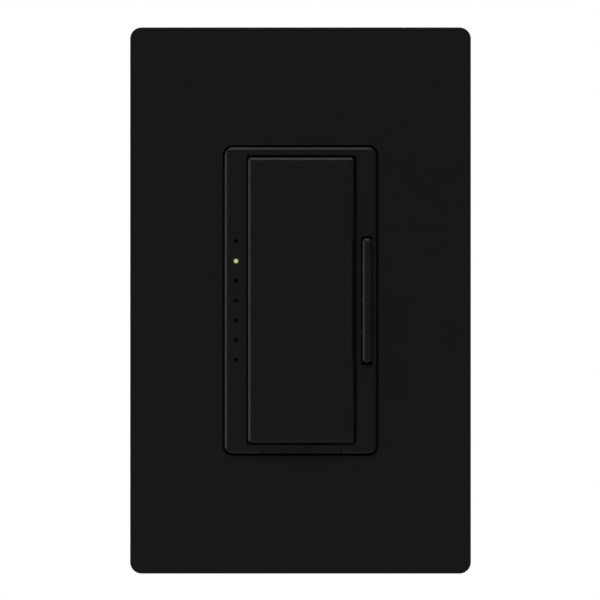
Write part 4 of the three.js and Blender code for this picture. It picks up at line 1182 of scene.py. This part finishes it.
def body_of_node(node):
    return next(body for body, nodes in frame["record"]["behaviour"]["bodies"].items() if node in nodes)


def carried_pieces():
    for nodes, slot, material, edge in CARRIED:
        for node in nodes:
            piece = cad_copy(node)
            soften(piece, edge, angle=32.0)
            finish(piece, f"{node}_piece", body_of_node(node), material, [node], smooth=35.0)


wall_plate()
bezel()
tap_paddle()
dim_rocker()
airgap_tab()
light_pipe()
plate_adapter()
adapter_screws()
yoke()
mounting_screws()
housing()
housing_screws()
terminal_screws()
choke_winding()
capacitor()
fuse()
carried_pieces()

# ------------------------------------------------------------------ stage, lights and camera

FRAME_MM = 130.8  # width of the picture at the plate's face
CAMERA_DISTANCE = 0.95
CAMERA_SHIFT = (-0.11, 0.11)
SENSOR_WIDTH = 36.0
FLOOR_Z = -0.3
FLOOR_HALF = 3.1
FLOOR_COLOUR = (0.82, 0.82, 0.81)
AMBIENT = 0.13
SOFTBOXES = [
    # name, place, width and height, watts
    ("left_softbox", (-0.9, -0.05, 0.0), (0.26, 0.9), 2.05),
    ("top_softbox", (0.0, -0.05, 0.9), (0.9, 0.26), 1.95),
    ("right_softbox", (0.85, -0.35, 0.0), (0.3, 0.9), 0.22),
    ("front_softbox", (-0.2, -0.7, 1.0), (0.7, 0.7), 6.6),
    ("rear_left_softbox", (-0.7, 0.85, 0.2), (0.7, 0.7), 3.0),
    ("rear_right_softbox", (0.8, 0.7, 0.1), (0.7, 0.7), 2.0),
]


def floor():
    bm = bmesh.new()
    bmesh.ops.create_grid(bm, x_segments=1, y_segments=1, size=FLOOR_HALF)
    obj = object_from(bm, "floor")
    obj.location.z = FLOOR_Z
    surface = Surface("floor_paint", FLOOR_COLOUR, 0.7, specular=0.2)
    surface.vary_colour(surface.noise(3, 3.0), 0.01)
    obj.data.materials.append(surface.material)


def area_light(name, place, size, strength):
    """A softbox turned towards the object."""
    data = bpy.data.lights.new(name, "AREA")
    data.shape = "RECTANGLE"
    data.size, data.size_y = size
    data.energy = strength
    light = bpy.data.objects.new(name, data)
    scene.collection.objects.link(light)
    light.location = place
    light.rotation_euler = (-Vector(place)).to_track_quat("-Z", "Y").to_euler()


def world():
    """White behind the object, and a dim even light on it."""
    sky = bpy.data.worlds.new("studio")
    scene.world = sky
    sky.use_nodes = True
    tree = sky.node_tree
    tree.nodes.clear()
    path = tree.nodes.new("ShaderNodeLightPath")
    mix = tree.nodes.new("ShaderNodeMixShader")
    output = tree.nodes.new("ShaderNodeOutputWorld")
    tree.links.new(path.outputs["Is Camera Ray"], mix.inputs["Fac"])
    for socket, strength in ((1, AMBIENT), (2, 1.0)):
        white = tree.nodes.new("ShaderNodeBackground")
        white.inputs["Color"].default_value = (1, 1, 1, 1)
        white.inputs["Strength"].default_value = strength
        tree.links.new(white.outputs["Background"], mix.inputs[socket])
    tree.links.new(mix.outputs["Shader"], output.inputs["Surface"])


def camera():
    """Straight on, far enough away to look almost without perspective."""
    data = bpy.data.cameras.new("camera")
    view = bpy.data.objects.new("camera", data)
    scene.collection.objects.link(view)
    plate_front = node_box("wall_plate")[0].y * MM
    view.location = (CAMERA_SHIFT[0] * MM, plate_front - CAMERA_DISTANCE, CAMERA_SHIFT[1] * MM)
    view.rotation_euler = (math.pi / 2, 0, 0)
    data.sensor_width = SENSOR_WIDTH
    data.lens = SENSOR_WIDTH * CAMERA_DISTANCE / (FRAME_MM * MM)
    data.clip_start = 0.05
    data.clip_end = 10.0
    scene.camera = view


floor()
world()
camera()
for softbox in SOFTBOXES:
    area_light(*softbox)
scene.view_settings.view_transform = "Standard"
scene.view_settings.look = "None"
scene.view_settings.exposure = 0.0
scene.view_settings.gamma = 1.0
